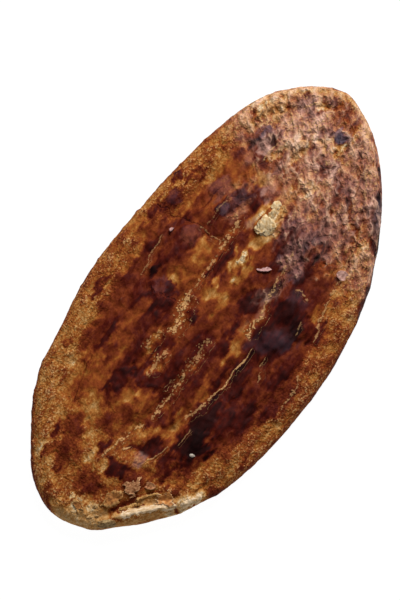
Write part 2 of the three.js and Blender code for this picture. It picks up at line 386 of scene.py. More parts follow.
# Ridges and spots that the heat has darkened, and two patches of painted shade, marked below.
DARK = (
    # Painted shade on the blunt end's edge, where its side turns away from the light.
    Patch((-147, 27), (3, 7), 0.54),
    Patch((-120, 31), (6, 4), 0.54),
    Patch((-128, 35), (4.5, 2.5), 0.78),
    Patch((-126, 24), (3.5, 3), 0.74),
    Patch((-117, 25), (8, 7), 0.62, cover=0.8),
    Patch((-109, 35), (5, 3.5), 0.72),
    Patch((-103, 29), (8, 6), 0.68, cover=0.8),
    Patch((-123, 5), (7, 9), 0.62),
    Patch((-106, 9), (4.4, 3.4), 0.74),
    Patch((-110, -5), (5.5, 10), 0.84, turn=8),
    Patch((-94, -8), (3, 5.5), 0.78, turn=14),
    Patch((-97, -40), (4, 9), 0.5, turn=20),
    Patch((-109, -18), (6, 6), 0.6),
    Patch((-69, 11), (4, 3), 0.62),
    # A wedge of painted shade under a fold.
    Patch((-90, -13), (9, 5), 0.8, turn=-50),
    Patch((-74, -7), (7, 5), 0.72),
    Patch((-92.5, -25.5), (8, 4), 0.74),
    Patch((-91, 14), (6, 6), 0.64),
    Patch((-80, 8), (5, 5), 0.6),
    Patch((-64, 24), (19, 6), 0.74, turn=4),
    Patch((-70.5, 26), (6, 4), 0.86),
    Patch((-61, 22), (5, 4), 0.86),
    Patch((-46, 25), (10, 5), 0.66),
    Patch((-60, 8), (5, 7), 0.8),
    Patch((-54, 14), (10, 3), 0.76),
    Patch((-48, 0), (16, 6), 0.8),
    Patch((-66, -14), (9, 3), 0.68),
    Patch((-57, 33), (4, 3), 0.64),
    Patch((-62, -51), (13, 4), 0.58),
    Patch((-23, -60), (9, 4), 0.68),
    Patch((-68, -31), (21, 8), 0.92, turn=-4),
    Patch((-75, -33), (9, 5), 0.98),
    Patch((-55, -28), (12, 5), 0.88),
    Patch((-54, -39), (12, 5), 0.72, turn=-10),
    Patch((-64.5, 58), (2.5, 4), 0.56),
    Patch((-58, 51.5), (9, 2.6), 0.64),
    Patch((-52, 43.5), (13, 3.6), 0.8),
    Patch((-80, 37), (10, 6), 0.58, cover=0.7),
    Patch((-52, -49), (11, 7), 0.74),
    Patch((-5, 70.5), (9, 3), 0.5),
    Patch((-26, 63.5), (8, 1.8), 0.74),
    Patch((25, 61.5), (5, 2), 0.72),
    Patch((35, 57.5), (7, 3.4), 0.7),
    Patch((51, 62), (3.6, 2.2), 0.74),
    Patch((55.5, 55), (7, 2.4), 0.66, turn=-6),
    Patch((-32, 50), (24, 4), 0.62, turn=4),
    Patch((-10, 54), (12, 3), 0.6),
    Patch((11, 51), (16, 3), 0.66),
    Patch((5, 51.5), (5, 2.4), 0.8),
    Patch((4, 42.5), (13, 2.8), 0.86),
    Patch((-4, 43), (5, 2), 0.95),
    Patch((14, 38), (15, 6), 0.72, turn=-14),
    Patch((23, 34.5), (7, 2.4), 0.82),
    Patch((-20, 41), (13, 6), 0.72),
    Patch((20, 50), (9, 4), 0.7),
    Patch((12, 8), (9, 4), 0.68),
    Patch((33, 43), (3, 2.6), 0.84),
    Patch((47, 43), (14, 5), 0.62),
    Patch((-22, 29), (10, 9), 0.8),
    Patch((-10.5, 27), (3, 5), 0.8),
    Patch((-38, 27), (12, 5), 0.66),
    Patch((-35, 12), (12, 4), 0.76),
    Patch((-15, 7.4), (4.5, 3.5), 0.88),
    Patch((-12, 2), (8, 5), 0.58, cover=0.7),
    Patch((-34, -2), (17, 5), 0.78),
    Patch((-28, -10), (7, 3), 0.68),
    Patch((24, 12.5), (15, 3.2), 0.74),
    Patch((39, 14), (7, 4), 0.6),
    Patch((46, 29), (9, 3.8), 0.86),
    Patch((38, 25), (8, 5), 0.66, cover=0.7),
    Patch((-42, -14), (15, 5), 0.7),
    Patch((-16, -14), (13, 4.2), 0.84),
    Patch((7.6, -11.6), (6, 4.5), 0.86),
    Patch((27, -12), (5, 5), 0.66),
    Patch((20, -18), (7, 4), 0.86),
    Patch((10, 10), (9, 3), 0.8),
    Patch((23, 8), (7, 2.4), 0.68),
    Patch((15, 2), (4, 3), 0.62),
    Patch((39, -14), (8, 4), 0.76),
    Patch((-38, -24.6), (14, 2), 0.8),
    Patch((8, -37), (24, 12), 0.82),
    Patch((-22, -33), (18, 4.5), 0.8),
    Patch((0, -29), (5, 4.4), 0.86),
    Patch((16, -32), (10, 4), 0.88),
    Patch((0, -42), (8, 8), 0.82),
    Patch((12, -47), (8.5, 4), 0.97),
    Patch((-37, -38), (9, 1.6), 0.82),
    Patch((-30, -45), (14, 4), 0.66),
    Patch((-42, -48), (7, 3), 0.84),
    Patch((-20, -51), (9, 4), 0.8),
    Patch((-6, -54), (9, 4), 0.68),
    Patch((-36, -56), (9, 3.4), 0.72),
    Patch((40, -31), (15, 3.2), 0.78),
    Patch((44, -40), (12, 6), 0.6),
    Patch((18, -54), (7, 7), 0.78),
    Patch((70, -50), (3, 6), 0.54),
    Patch((50, -67.5), (6, 3), 0.84),
    Patch((50, 28), (8, 3.2), 0.8, turn=-12),
    Patch((61, 22), (8, 3), 0.78, turn=-30),
    Patch((68, 18), (4, 2.4), 0.76),
    Patch((61, 16), (8, 3), 0.78),
    Patch((61, 10.5), (9, 3), 0.72),
    Patch((61, 39), (8, 6), 0.52),
    Patch((82, 51), (3.4, 3), 0.58),
    Patch((109, 46.5), (8, 3.4), 0.44),
    Patch((85, 29), (5, 6), 0.64),
    Patch((81, 20), (3, 3), 0.54),
    Patch((86, 12), (4, 8), 0.54),
    Patch((95, 39.5), (4, 3), 0.6),
    Patch((100, 33.5), (7, 6), 0.78),
    Patch((92, 36), (5, 2), 0.84),
    Patch((126.5, 17), (3.4, 9), 0.64),
    Patch((135, 27), (4, 2.5), 0.5),
    Patch((136, 4), (8, 5), 0.42),
    Patch((121, -1), (4.4, 7), 0.75),
    Patch((100, -6), (7, 8), 0.66, turn=25),
    Patch((106, -14), (7, 4.4), 0.66),
    Patch((101, -24), (11, 5), 0.38, turn=24),
    Patch((80, -11), (3.4, 6), 0.62),
    Patch((62, -10), (8, 3.4), 0.8),
    Patch((52, -10), (9, 4), 0.76),
    Patch((55, -21), (14, 10), 0.58),
    Patch((61, -28), (8, 3), 0.76),
    Patch((77.5, -21), (3.4, 7), 0.68),
    Patch((84, -23), (7, 4), 0.5),
    Patch((50, -31), (16, 3), 0.7, turn=6),
    Patch((72, -44), (20, 3), 0.46, turn=10),
    Patch((90, -47), (13, 2.6), 0.74, turn=30),
)

# Patches that stayed paler than the crust round them.
PALE = (
    Patch((-118, -5.5), (3.6, 5.5), 0.31, turn=-8),
    Patch((-130, -15), (4, 3.5), 0.2),
    Patch((49, 11), (5, 4), 0.3),
    Patch((60, 9), (5, 3), 0.34),
    Patch((105, 13), (5, 5), 0.12),
    Patch((-79, -13), (7, 1.8), 0.36, turn=-50),
    Patch((-68, -18.5), (7, 1.8), 0.36),
    Patch((-73, 5), (5, 4), 0.34),
    Patch((-73, 14), (4, 6), 0.32, cover=0.8),
    Patch((71, -13), (3, 6), 0.38),
    Patch((119, 40), (5, 6), 0.1),
    Patch((-125, 39), (7, 3), 0.24, turn=30),
    Patch((-141, -5), (7, 12), 0.2, turn=14),
    Patch((-115, 6), (4, 3.6), 0.26),
    Patch((-102.6, -2), (2.6, 6), 0.4),
    Patch((-70, 33.5), (12, 3), 0.42, cover=0.7),
    Patch((-42, 33), (6, 3), 0.42),
    Patch((-3, 58.5), (15, 3.6), 0.34),
    Patch((45, 51.5), (18, 3.8), 0.38),
    Patch((68, 48), (10, 5), 0.32),
    Patch((89, 55), (8, 3.6), 0.26),
    Patch((70, 34), (4, 9), 0.42),
    Patch((74, 21), (4, 7), 0.32),
    Patch((128, -10), (3.6, 6), 0.22),
    Patch((87, -5), (4, 6), 0.16),
    Patch((100, 16), (7, 5.5), 0.07, turn=-40),
    Patch((112, 1), (3.4, 7), 0.06),
    Patch((113.5, -6), (4, 3.8), 0.1),
    Patch((116, 37), (9, 6), 0.14, turn=-30),
    Patch((131.5, 16), (4, 8), 0.06),
    Patch((24, 39), (6, 3.6), 0.6),
    Patch((60, -19), (4, 3), 0.5),
    Patch((-84, -49), (12, 3.6), 0.32, turn=-14),
    Patch((-50, -65), (14, 3), 0.34),
    Patch((40, -57), (12, 4), 0.32),
    Patch((52, -58), (13, 7), 0.16),
    Patch((52, -36), (5, 4), 0.44),
    Patch((51, -25), (4, 4), 0.46),
    Patch((79, -46), (5, 8), 0.32),
    Patch((57, -45), (7, 3), 0.4),
    Patch((-111, 14.5), (6, 4.4), 0.21, cover=0.9),
    Patch((-102, 19), (5, 3), 0.26, cover=0.7),
    Patch((-88, 27), (9, 2.2), 0.28, turn=10),
    Patch((-52, -20), (9, 2.6), 0.42),
    Patch((-34, 35), (13, 3.4), 0.5, cover=0.8),
    Patch((-1, 29), (2.6, 3), 0.22),
    Patch((6, 25), (9, 5), 0.4, cover=0.8),
    Patch((19, 23.5), (8, 5), 0.35),
    Patch((-37, 19.5), (8, 2.6), 0.34),
    Patch((-48, 10.5), (6, 2), 0.34, cover=0.8),
    Patch((-2, 0), (7, 5), 0.35, cover=0.9),
    Patch((1.5, 12), (6, 3), 0.34, cover=0.9),
    Patch((24, -1), (7, 2.6), 0.3, cover=0.9),
    Patch((27.5, 1.6), (7, 5), 0.25, cover=0.9),
    Patch((29, 2.4), (3.6, 4.4), 0.04),
    Patch((43, 2.4), (8, 4.4), 0.24, cover=0.9),
    Patch((-41, -5.6), (9, 1.6), 0.4, cover=0.7),
    Patch((-13, -21.6), (14, 3.4), 0.36),
    Patch((25, -49), (5, 3.4), 0.4),
    Patch((52, 0), (11, 4.4), 0.26),
    Patch((52.6, 2.6), (5.4, 4.4), 0.06),
    Patch((60.3, 2.6), (3.4, 3.8), 0.06),
    Patch((66, 4.6), (3.2, 2.4), 0.1),
    Patch((52, -4.5), (7, 2.6), 0.24),
    Patch((91.5, 24), (2.6, 4.4), 0.2, turn=10),
    Patch((63, -54), (22, 5), 0.36, turn=8),
    Patch((-135.5, 7), (3, 2), 0.14),
    Patch((-137, 1.5), (2.4, 2.4), 0.16),
    Patch((-133, -7), (2.2, 2.2), 0.12),
    Patch((-124, -11), (8, 4.5), 0.4, turn=-30),
)

# Thin creases where the dough stayed pale. The cover is how pale they are, and the level is the bake of
# the crust that they lie in, where it is above 0.
CREASES = (
    Crease(((-10, 47.7), (-4, 48), (2, 49), (15, 49.6)), 0.4, cover=0.32, crumbly=2.2),
    Crease(((-28, 13), (-22, 13.6), (-15, 16), (-7, 17.4)), 1.7, 0.36, cover=0.8, crumbly=2.8),
    Crease(((-7, 17.4), (0, 17.8), (8, 16.8), (20, 17.2), (29, 17)), 0.6, 0.5, cover=0.5, crumbly=3.0),
    Crease(((29, 17), (40, 18.4), (50, 19)), 1.1, 0.42, cover=0.6, crumbly=3.2),
    Crease(((-74, -4.6), (-62, -6), (-52, -6.4), (-44, -5.4)), 1.0, 0.46, cover=0.6, crumbly=2.8),
    Crease(((-42, -5.4), (-32, -7.4), (-22, -6)), 1.2, 0.46, cover=0.4, crumbly=3.2),
    Crease(((-64, -20.5), (-58, -23.6), (-51, -24.6), (-44, -26.6)), 0.9, 0.4, cover=0.5, crumbly=2.6),
    Crease(((-48, -25.8), (-38, -28), (-25, -29), (-12, -30.3)), 0.55, cover=0.8, crumbly=0.8),
    Crease(((-6, -24), (2, -22.6), (10, -22.8)), 1.3, 0.4, cover=0.8, crumbly=2.6),
    Crease(((10, -22.8), (20, -20.8), (34, -19.8), (48, -18)), 0.8, cover=0.45, crumbly=2.4),
    Crease(((-16.6, -38.2), (-11, -38.4)), 0.5, cover=0.5, crumbly=1.4),
    Crease(((-25, -42.4), (-19.5, -41)), 0.5, cover=0.5, crumbly=1.4),
    Crease(((9, -45), (16, -44)), 0.45, cover=0.3, crumbly=1.2),
    Crease(((-31, -61.4), (-22, -62.8), (-14, -62.2), (-9.5, -59.5)), 0.6, cover=0.5, crumbly=1.6),
    Crease(((12, -55.7), (25, -52.4), (40, -50), (50, -49.5)), 0.8, 0.4, cover=0.5, crumbly=2.0),
    Crease(((56, -48), (70, -46), (86, -42)), 0.7, cover=0.4),
    Crease(((-108, 5.6), (-97, 3.6), (-88, 0), (-80, -3)), 0.7, 0.34, cover=0.7, crumbly=1.6),
    Crease(((-99, -15), (-92, -18.6), (-84, -21.5)), 0.5, cover=0.5, crumbly=0.8),
    Crease(((-79, -25.6), (-70, -27)), 0.4, cover=0.4, crumbly=0.5),
    Crease(((-98, -1), (-95, -4)), 0.7, cover=0.8, crumbly=0.6),
    Crease(((31.5, 34), (30.5, 28), (30, 20)), 0.5, cover=0.35, crumbly=1.6),
    Crease(((31, -33), (30.5, -40)), 0.6, cover=0.35, crumbly=2.0),
    Crease(((35, 31.5), (42, 31.5), (54, 31)), 0.5, cover=0.22, crumbly=2.4),
    Crease(((-58, -2), (-52, -2.4)), 0.6, cover=0.4),
    Crease(((-45, 20), (-38, 20.6), (-33, 19)), 1.4, 0.34, cover=0.5, crumbly=3.0),
    Crease(((-56, 10), (-46, 11), (-40, 9.6)), 1.2, 0.34, cover=0.5, crumbly=3.0),
    Crease(((98, -35), (108, -30), (116, -24)), 0.8, cover=0.4),
    Crease(((127, 24), (133, 19), (137, 12)), 0.9, cover=0.5),
    Crease(((86, 26), (92, 27), (98, 25)), 0.8, cover=0.5),
)

# Cracks, and the folds between puffs, painted dark as the shade in them. The cover is how dark they are.
CRACKS = (
    Crease(((29, 62), (28.5, 53), (31, 44), (32, 35), (29, 26)), 0.5, cover=0.45, crumbly=1.4),
    Crease(((-14.5, 38), (-13, 30), (-12.5, 22)), 0.6, cover=0.35, crumbly=1.4),
    Crease(((-48, -27.4), (-38, -29.6), (-25, -30.6), (-12, -31.8)), 0.8, cover=0.42),
    Crease(((4, 15), (14, 15.2), (28, 15.2)), 0.8, cover=0.5),
    Crease(((103, -12), (108, -9), (116, -10)), 0.7, cover=0.5),
    Crease(((88, -36), (98, -32), (108, -27)), 0.7, cover=0.4),
    Crease(((100, 14), (106, 12), (116, 15)), 0.6, cover=0.4),
    Crease(((98, 2), (102, -5), (104, -13)), 0.7, cover=0.5),
    Crease(((104, 26), (112, 28), (124, 30)), 0.6, cover=0.3),
    Crease(((92, -20), (100, -14), (106, -8)), 0.6, cover=0.4),
    Crease(((84, -34), (92, -26), (98, -22)), 0.6, cover=0.4),
    Crease(((63, -30), (56, -32), (49, -32)), 1.0, cover=0.6),
    Crease(((112, -26), (118, -20), (122, -13)), 0.7, cover=0.4),
    Crease(((50, -66), (64, -61), (80, -55), (96, -46)), 0.7, cover=0.5),
    Crease(((40, 40), (48, 38.6), (58, 37)), 0.6, cover=0.4),
    Crease(((-92, 36), (-80, 41), (-66, 43)), 0.7, cover=0.4),
)

# The torn rim: the crust outside it, the crumb that shows, the thin layers behind it and the cracks,
# painted dark as the shade in them.
TORN = (
    Crease(((-128, -17), (-120, -22), (-110, -32)), 4.4, 0.24, cover=0.9),
    Crease(((-148, 10), (-146, 0), (-141, -11), (-133, -20)), 4.6, 0.12),
    Crease(((-137, -22), (-131, -26), (-120, -35), (-111, -45)), 3.4, 0.19, 0.3),
    Crease(((-139, -14.5), (-136, -18), (-133, -21)), 2.4, 0.24, 0.5),
    Crease(((-131, -19.5), (-124.5, -24.5), (-118, -30)), 1.6, 0.1, 0.3),
    Crease(((-118, -30.5), (-112, -36), (-107.5, -41.5)), 2.0, 0.05, 0.4),
    Crease(((-104.5, -44), (-101, -46.5), (-95, -52)), 2.6, 0.06, 0.5, cover=1.2),
    Crease(((-113.5, -42.5), (-106, -48)), 3.0, 0.05, 0.3),
    Crease(((-112.5, -32.5), (-105.5, -41.5)), 2.8, 0.16),
    Crease(((-137, -8), (-130, -17)), 2.8, 0.14),
    Crease(((-128, -17.5), (-121, -23), (-117, -27)), 1.0, 0.16, 0.4),
    Crease(((-117, -22.8), (-111, -28), (-106, -32)), 1.0, 0.2, 0.4, cover=0.9),
    # Painted shade: dark bands in the cracks under the torn crust and its thin layers.
    Crease(((-130, -15.5), (-125, -18), (-120, -21), (-117, -22)), 1.6, 0.74, -0.6, cover=0.9),
    Crease(((-128.6, -18.6), (-122.6, -24.8), (-118, -28)), 0.6, 0.7, -0.5, cover=0.8),
    Crease(((-116.5, -22), (-112.8, -26), (-108.5, -29.3), (-105, -32)), 0.7, 0.7, -0.5, cover=0.8),
    Crease(((-106.6, -42), (-110.9, -46)), 0.8, 0.72, -0.8, cover=0.9),
    Crease(((-132, -22), (-134, -17), (-131.5, -14)), 0.8, 0.6, -0.5, cover=0.7),
)

# Plates of pale pink skin, with a painted sheen over them. The level is how pink they are and how much
# sheen is painted.
ROSY_AND_SHEEN = (
    Patch((112, 18), (9, 6), 0.55, turn=20),
    Patch((134, 21), (4, 7), 0.5),
    Patch((123, 15), (4, 7), 0.45, turn=-20),
    Patch((112, 3), (7, 6), 0.45, turn=-30),
    Patch((99, 16), (6, 4), 0.5),
    Patch((93, 29), (3, 5), 0.5, turn=15),
    Patch((112, 29), (7, 3), 0.4),
    Patch((119, -21), (8, 5), 0.45, turn=40),
    Patch((98, -16), (8, 4), 0.4, turn=35),
    Patch((106, -32), (12, 3), 0.4, turn=32),
    Patch((101, -23), (10, 5), 0.36, turn=24),
    Patch((80, -8), (6, 5), 0.3),
    Patch((66, -27), (9, 5), 0.25, turn=-40),
    Patch((76, 15), (7, 3), 0.25),
    Patch((97, 4), (5, 6), 0.35),
    # A painted mauve highlight on a small ridge.
    Patch((-100.6, -12.2), (1.7, 4), 0.2, turn=35),
    Patch((56, -20), (13, 8), 0.18),
    Patch((8, -22), (10, 2.4), 0.1),
)

# A bluish sheen painted on blistered and scorched skin, for the light that its glossy facets reflect.
# The level is how much of it shows.
PAINTED_SHEEN = (
    Patch((122.5, -3), (3.6, 4.6), 1.0),
    Patch((95, 35.5), (3.4, 1.8), 0.8, turn=-15),
    Patch((103, 34), (3, 4), 0.6),
    Patch((61, 39), (7, 5), 0.35),
    Patch((48, 12), (2.6, 3), 0.7),
    Patch((47, 28), (5, 2.4), 0.45),
    Patch((62, 21), (9, 2.6), 0.3, turn=-35),
    Patch((24, 39), (6, 4), 0.2),
    Patch((36, 57), (5, 3), 0.2),
    Patch((-1, -38), (5, 13), 0.24, turn=30),
    Patch((26, -37), (5, 6), 0.16),
    Patch((39, -26), (4, 2.6), 0.5, turn=-40),
    Patch((40, -15), (4, 2), 0.4),
    Patch((64, -9), (8, 4), 0.35),
    Patch((56, -20), (13, 8), 0.3),
    Patch((101, -25), (6, 4), 0.4, turn=24),
    Patch((94, -48), (9, 2.4), 0.5, turn=30),
    Patch((105, 6), (3, 3), 0.3),
    Patch((-9, 32), (3, 4), 0.2),
)

# Where the skin is crumpled too, on the side of the middle that faces the pointed end.
CRUMPLED = (
    Patch((54, -20), (15, 10)),
    Patch((64, -8), (13, 6)),
    Patch((66, -32), (16, 12)),
    Patch((58, 24), (14, 7), cover=0.5),
    Patch((24, -22), (10, 5), cover=0.5),
)

# Blisters that stand up from the crust. The level is their height in mm.
BLISTERS = (
    Patch((52, 4), (6, 6.2), 0.8),
    Patch((60.3, 4), (3.6, 5.4), 0.8),
    Patch((66.5, 5.5), (3.4, 3), 0.6),
    Patch((30, 1.7), (3.4, 4), 0.6),
    Patch((24, 39), (7, 5), 1.2),
    Patch((20.5, 46.6), (3, 2.2), 0.8),
    Patch((61, 39), (7, 5), 0.8),
    Patch((-9, 34), (3, 6), 1.0),
    Patch((19, -36.7), (8, 6), 0.8),
    Patch((-1, -38), (6, 9), 0.6),
    Patch((54, -20), (13, 9), 1.0),
)

# The outline: a dark band along its lower edge, the pale edge round the pointed end, partly a painted
# highlight where it faces the light, and brown bands of painted shade along the blunt end.
EDGES = (
    Crease(((6, -74), (28, -73.5), (46, -70)), 1.8, 0.64, cover=0.9),
    Crease(((44, -70), (54, -67)), 3.2, 0.9),
    Crease(((40, -71), (50, -68.5), (64, -64), (80, -58)), 2.0, 0.8),
    Crease(((80, -57.5), (92, -51), (106, -42)), 4.0, 0.95),
    Crease(((106, -43), (116, -36), (126, -27)), 1.5, 0.72),
    # Painted shade along the blunt end's edge, where its side turns away from the light.
    Crease(((-150, 18), (-147, 28), (-141, 34)), 2.8, 0.72),
    # Partly pale crust, partly a painted highlight where the edge faces the light.
    Crease(((110, 53), (124, 44), (136, 30), (144, 16), (147, 6), (142, -6), (137, -13)), 2.4, 0.13),
    # Painted shade along the blunt end's edge, where its side turns away from the light.
    Crease(((-150, 12), (-146, 26), (-136, 36), (-118, 49), (-100, 60)), 2.0, 0.6, cover=0.9),
    Crease(((-100, 60), (-80, 67), (-50, 72)), 1.4, 0.56, cover=0.8),
)

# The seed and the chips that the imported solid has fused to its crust.
FUSED_BITS = (
    Patch((-80, -35), (1.9, 1.2), turn=-77),
    Patch((31.5, -9.5), (3.4, 1.6), turn=-62),
    Patch((53, -49), (3.1, 2.4), turn=80),
    Patch((-136, 7), (2.3, 1.6), turn=30),
    Patch((-132.5, -7.5), (1.9, 1.6)),
    Patch((-107, -26.5), (2.6, 1.8), turn=-60),
)

# What the crust map stores on the loaf's mesh for the crust's material: the state of the skin, with the
# sheen painted on it, then how far each point lies beside a pale crease and beside a crack, how much of
# each shows, and how crumbly each is.
CRUST_MARKS = (
    "bake", "grain", "wrinkle", "dust", "blush_and_sheen", "painted_sheen", "polish",
    "beside_crease", "creased", "crumbly_crease", "beside_crack", "cracked", "crumbly_crack",
)


@dataclass
class CrustMap:
    """What the crust is like at each of many points of the loaf.

    points are in mm, facing is the upward part of each normal, and inset is the distance in mm in from the
    outline.
    """

    points: np.ndarray
    facing: np.ndarray
    inset: np.ndarray
    ragged: float = 0.26
    puff: float = 0.45
    furrow_turn: float = 40.0
    line_reach: float = 4.0

    def __post_init__(self) -> None:
        """Works out the patterns and the bake that everything else leans on."""
        self.top = ease(self.facing, 0.05, 0.5)
        self.plan = self.points[:, :2]
        self.broad = Pattern((26, 13, 14), 3, 3.1).at(self.points)
        self.streaks = Pattern((14, 3.8, 4), 3, 7.7).at(self.points)
        self.blotches = Pattern((6.5, 5, 5), 3, 1.3).at(self.points)
        self.crumbs = Pattern((2.4, 2.2, 2.2), 2, 5.9).at(self.points)
        drawn = np.stack([Pattern((8, 5, 6), 3, 21.3).at(self.points),
                          Pattern((9, 6, 6), 3, 33.7).at(self.points)], axis=1)
        self.drift = drawn * np.array([1.7, 1.1])
        self.marked = np.max([self.cover_of(patch) for patch in DARK], axis=0)
        self.crumpled = ease(self.points[:, 0] - 0.4 * self.points[:, 1], 54, 90)
        for patch in CRUMPLED:
            self.crumpled = np.maximum(self.crumpled, self.cover_of(patch))
        self.folds = self._fold()
        self.bake = self._bake()

    def cover_of(self, patch: Patch) -> np.ndarray:
        """How much of a patch's bake each point takes, with a ragged edge."""
        rough = 0.5 * self.blotches + 0.7 * self.streaks
        return patch.cover * ease(self.reach_of(patch) + self.ragged * rough, 1.4, 0.66) * self.top

    def reach_of(self, patch: Patch) -> np.ndarray:
        """How far out from a patch's middle each point lies, in a plan that wavers round it."""
        away = np.linalg.norm(self.plan - np.array(patch.at), axis=1) + 50 * (self.facing < 0.2)
        return patch.reach(self.plan + self.drift - self.drift[np.argmin(away)])

    def cover_of_line(self, crease: Crease) -> np.ndarray:
        """How much of a band along a line each point takes."""
        beside, _ = crease.offset(self.plan + 0.4 * self.drift)
        return np.clip(crease.cover * np.exp(-((beside / crease.width) ** 2)), 0.0, 1.0)

    def lines(self, creases: tuple[Crease, ...]) -> tuple[np.ndarray, np.ndarray, np.ndarray]:
        """Measures the crust against the nearest of some thin lines.

        Args:
            creases: the lines.

        Returns:
            How far each point lies beside its line, in widths of the line, how much of it shows there,
            and how crumbly it is.
        """
        nearest = np.full(len(self.points), self.line_reach)
        across = nearest.copy()
        shown = np.zeros(len(self.points))
        crumbly = np.zeros(len(self.points))
        for crease in creases:
            beside, past = crease.offset(self.plan + 0.4 * self.drift)
            widths = np.abs(beside / crease.width) + past / crease.width
            closer = widths < nearest
            nearest = np.where(closer, widths, nearest)
            across = np.where(closer, beside / crease.width, across)
            shown = np.where(closer, crease.cover * ease(past, 1.5 * crease.width, 0.0), shown)
            crumbly = np.where(closer, crease.crumbly, crumbly)
        return across, shown * self.top, crumbly

    def _fold(self) -> np.ndarray:
        """Works out the crumpled skin of the pointed end.

        Returns:
            About 0 in its creases, and 1 or more on its folds.
        """
        turn = math.radians(self.furrow_turn)
        turned = self.points.copy()
        east, north = (self.plan + 1.2 * self.drift).T
        turned[:, 0] = east * math.cos(turn) + north * math.sin(turn)
        turned[:, 1] = north * math.cos(turn) - east * math.sin(turn)
        lumps = Pattern((13, 8, 9), 2, 12.2).at(turned)
        facets = Pattern((14, 8, 9), shift=17.9, folded=True).at(turned)
        pleats = Pattern((9, 4.4, 6), shift=41.3, folded=True).at(turned)
        return 0.85 + 0.2 * lumps + 0.24 * facets + 0.2 * pleats

    def _bake(self) -> np.ndarray:
        """Works out how far the crust has baked.

        Returns:
            The bake of each point, on the scale of the levels of Bake.
        """
        level = np.full(len(self.points), Bake.RUSSET.level - 0.03)
        for patch in (*ZONES, *DARK, *PALE):
            level += (patch.level - level) * self.cover_of(patch)
        for crease in CREASES:
            band = replace(crease, width=1.9 * crease.width)
            level += (crease.level - level) * self.cover_of_line(band) * (crease.level > 0)
        calm = 1 - 0.6 * ease(level, 0.7, 0.95)
        level += calm * (0.035 * self.broad + 0.03 * self.streaks + 0.04 * self.blotches)
        # Partly browning, partly painted shade: the crumpled skin is darker in its creases and paler on its
        # folds.
        level += self.crumpled * 0.12 * (0.85 - self.folds)
        side = 0.42 + 0.05 * self.streaks + 0.03 * self.blotches
        level = side + (level - side) * self.top
        for crease in (*TORN, *EDGES):
            level += (crease.level - level) * self.cover_of_line(crease)
        sole = ease(self.facing, -0.6, -0.95)
        floor_side = 0.36 + 0.06 * self.broad + 0.05 * self.blotches
        return np.clip(level + (floor_side - level) * sole, 0.0, 1.0)

    def _dry(self) -> np.ndarray:
        """How dry the crust is: the rims, the blunt end and the pointed end are."""
        rim = ease(self.inset, 26, 12)
        blunt = 0.75 * ease(self.points[:, 0], -70, -110)
        return np.maximum(np.maximum(rim, blunt), self.crumpled)

    def grain(self) -> np.ndarray:
        """How granular the crust is: sandy where it is dry, smooth where it is scorched or torn."""
        torn = np.max([self.cover_of_line(crease) for crease in TORN], axis=0)
        dry = (0.25 + 0.75 * self._dry()) * (1 - 0.1 * self.crumpled) * (1 - 0.7 * torn)
        return np.maximum(dry * (1 - 0.85 * ease(self.bake, 0.5, 0.8)), ease(self.bake, 0.2, 0.08))

    def wrinkle(self) -> np.ndarray:
        """How wrinkled the skin is: most at the pointed end, least on the rims and the scorched puffs."""
        smooth = np.maximum(ease(self.bake, 0.66, 0.86), 0.45 * ease(self.inset, 26, 12))
        calm = 0.24 * (1 - 0.9 * smooth)
        return (calm + (1.0 - calm) * self.crumpled) * self.top

    def dust(self) -> np.ndarray:
        """How thickly pale flour and dry crumbs cover the crust."""
        cover = 0.2 * self._dry() * (1 + 0.4 * self.blotches) + 0.2 * self.crumpled * (self.folds - 0.8)
        cover *= (1 - ease(self.bake, 0.42, 0.62)) * (1 - 0.6 * self.marked)
        return np.clip(cover, 0.0, 1.0) * self.top

    def relief(self) -> np.ndarray:
        """Works out the fine relief.

        Returns:
            How far it lifts each point of the crust, in mm.
        """
        height = (0.16 * self.streaks + 0.26 * self.blotches) * (1 - 0.5 * self.crumpled)
        height += 1.2 * self.crumpled * (self.folds - 0.85) * (0.35 + 0.65 * ease(self.inset, 2, 14))
        for patch in DARK:
            height += self.puff * patch.cover * ease(self.reach_of(patch), 1.15, 0.45)
        for blister in BLISTERS:
            height += blister.level * ease(self.reach_of(blister), 1.1, 0.3)
        for crease in TORN:
            height += crease.height * self.cover_of_line(crease)
        under = np.minimum(0.12 * self.blotches, 0.0) - 0.1
        return height * self.top + under * (1 - self.top)

    def blush_and_sheen(self) -> np.ndarray:
        """How much pinkish skin shows at the pointed end, with a painted sheen strongest on its folds."""
        skin = self.crumpled * np.clip(0.2 + 0.3 * (self.folds - 0.8), 0.0, 1.0) * (1 - 0.7 * self.marked)
        for patch in ROSY_AND_SHEEN:
            skin += (patch.level * (0.5 + 0.5 * self.folds) - skin) * self.cover_of(patch)
        return np.clip(skin, 0.0, 1.0) * self.top

    def painted_sheen(self) -> np.ndarray:
        """How much of the bluish sheen painted on scorched, blistered skin shows."""
        sheen_paint = np.zeros(len(self.points))
        for patch in PAINTED_SHEEN:
            sheen_paint = np.maximum(sheen_paint, patch.level * self.cover_of(patch))
        return sheen_paint * self.top

    def polish(self) -> np.ndarray:
        """How far the crust shines: well browned skin is satin, and less so where it is scorched."""
        return ease(self.bake, 0.42, 0.66) * (1 - 0.5 * ease(self.bake, 0.78, 0.92))

    def marks(self) -> dict[str, np.ndarray]:
        """Everything that the crust's material reads, as CRUST_MARKS names it."""
        lines = (*self.lines(CREASES), *self.lines(CRACKS))
        skin = (self.grain(), self.wrinkle(), self.dust(), self.blush_and_sheen(), self.painted_sheen(), self.polish())
        return dict(zip(CRUST_MARKS, (self.bake, *skin, *lines)))


# ---- Finishes ----------------------------------------------------------------------------------------


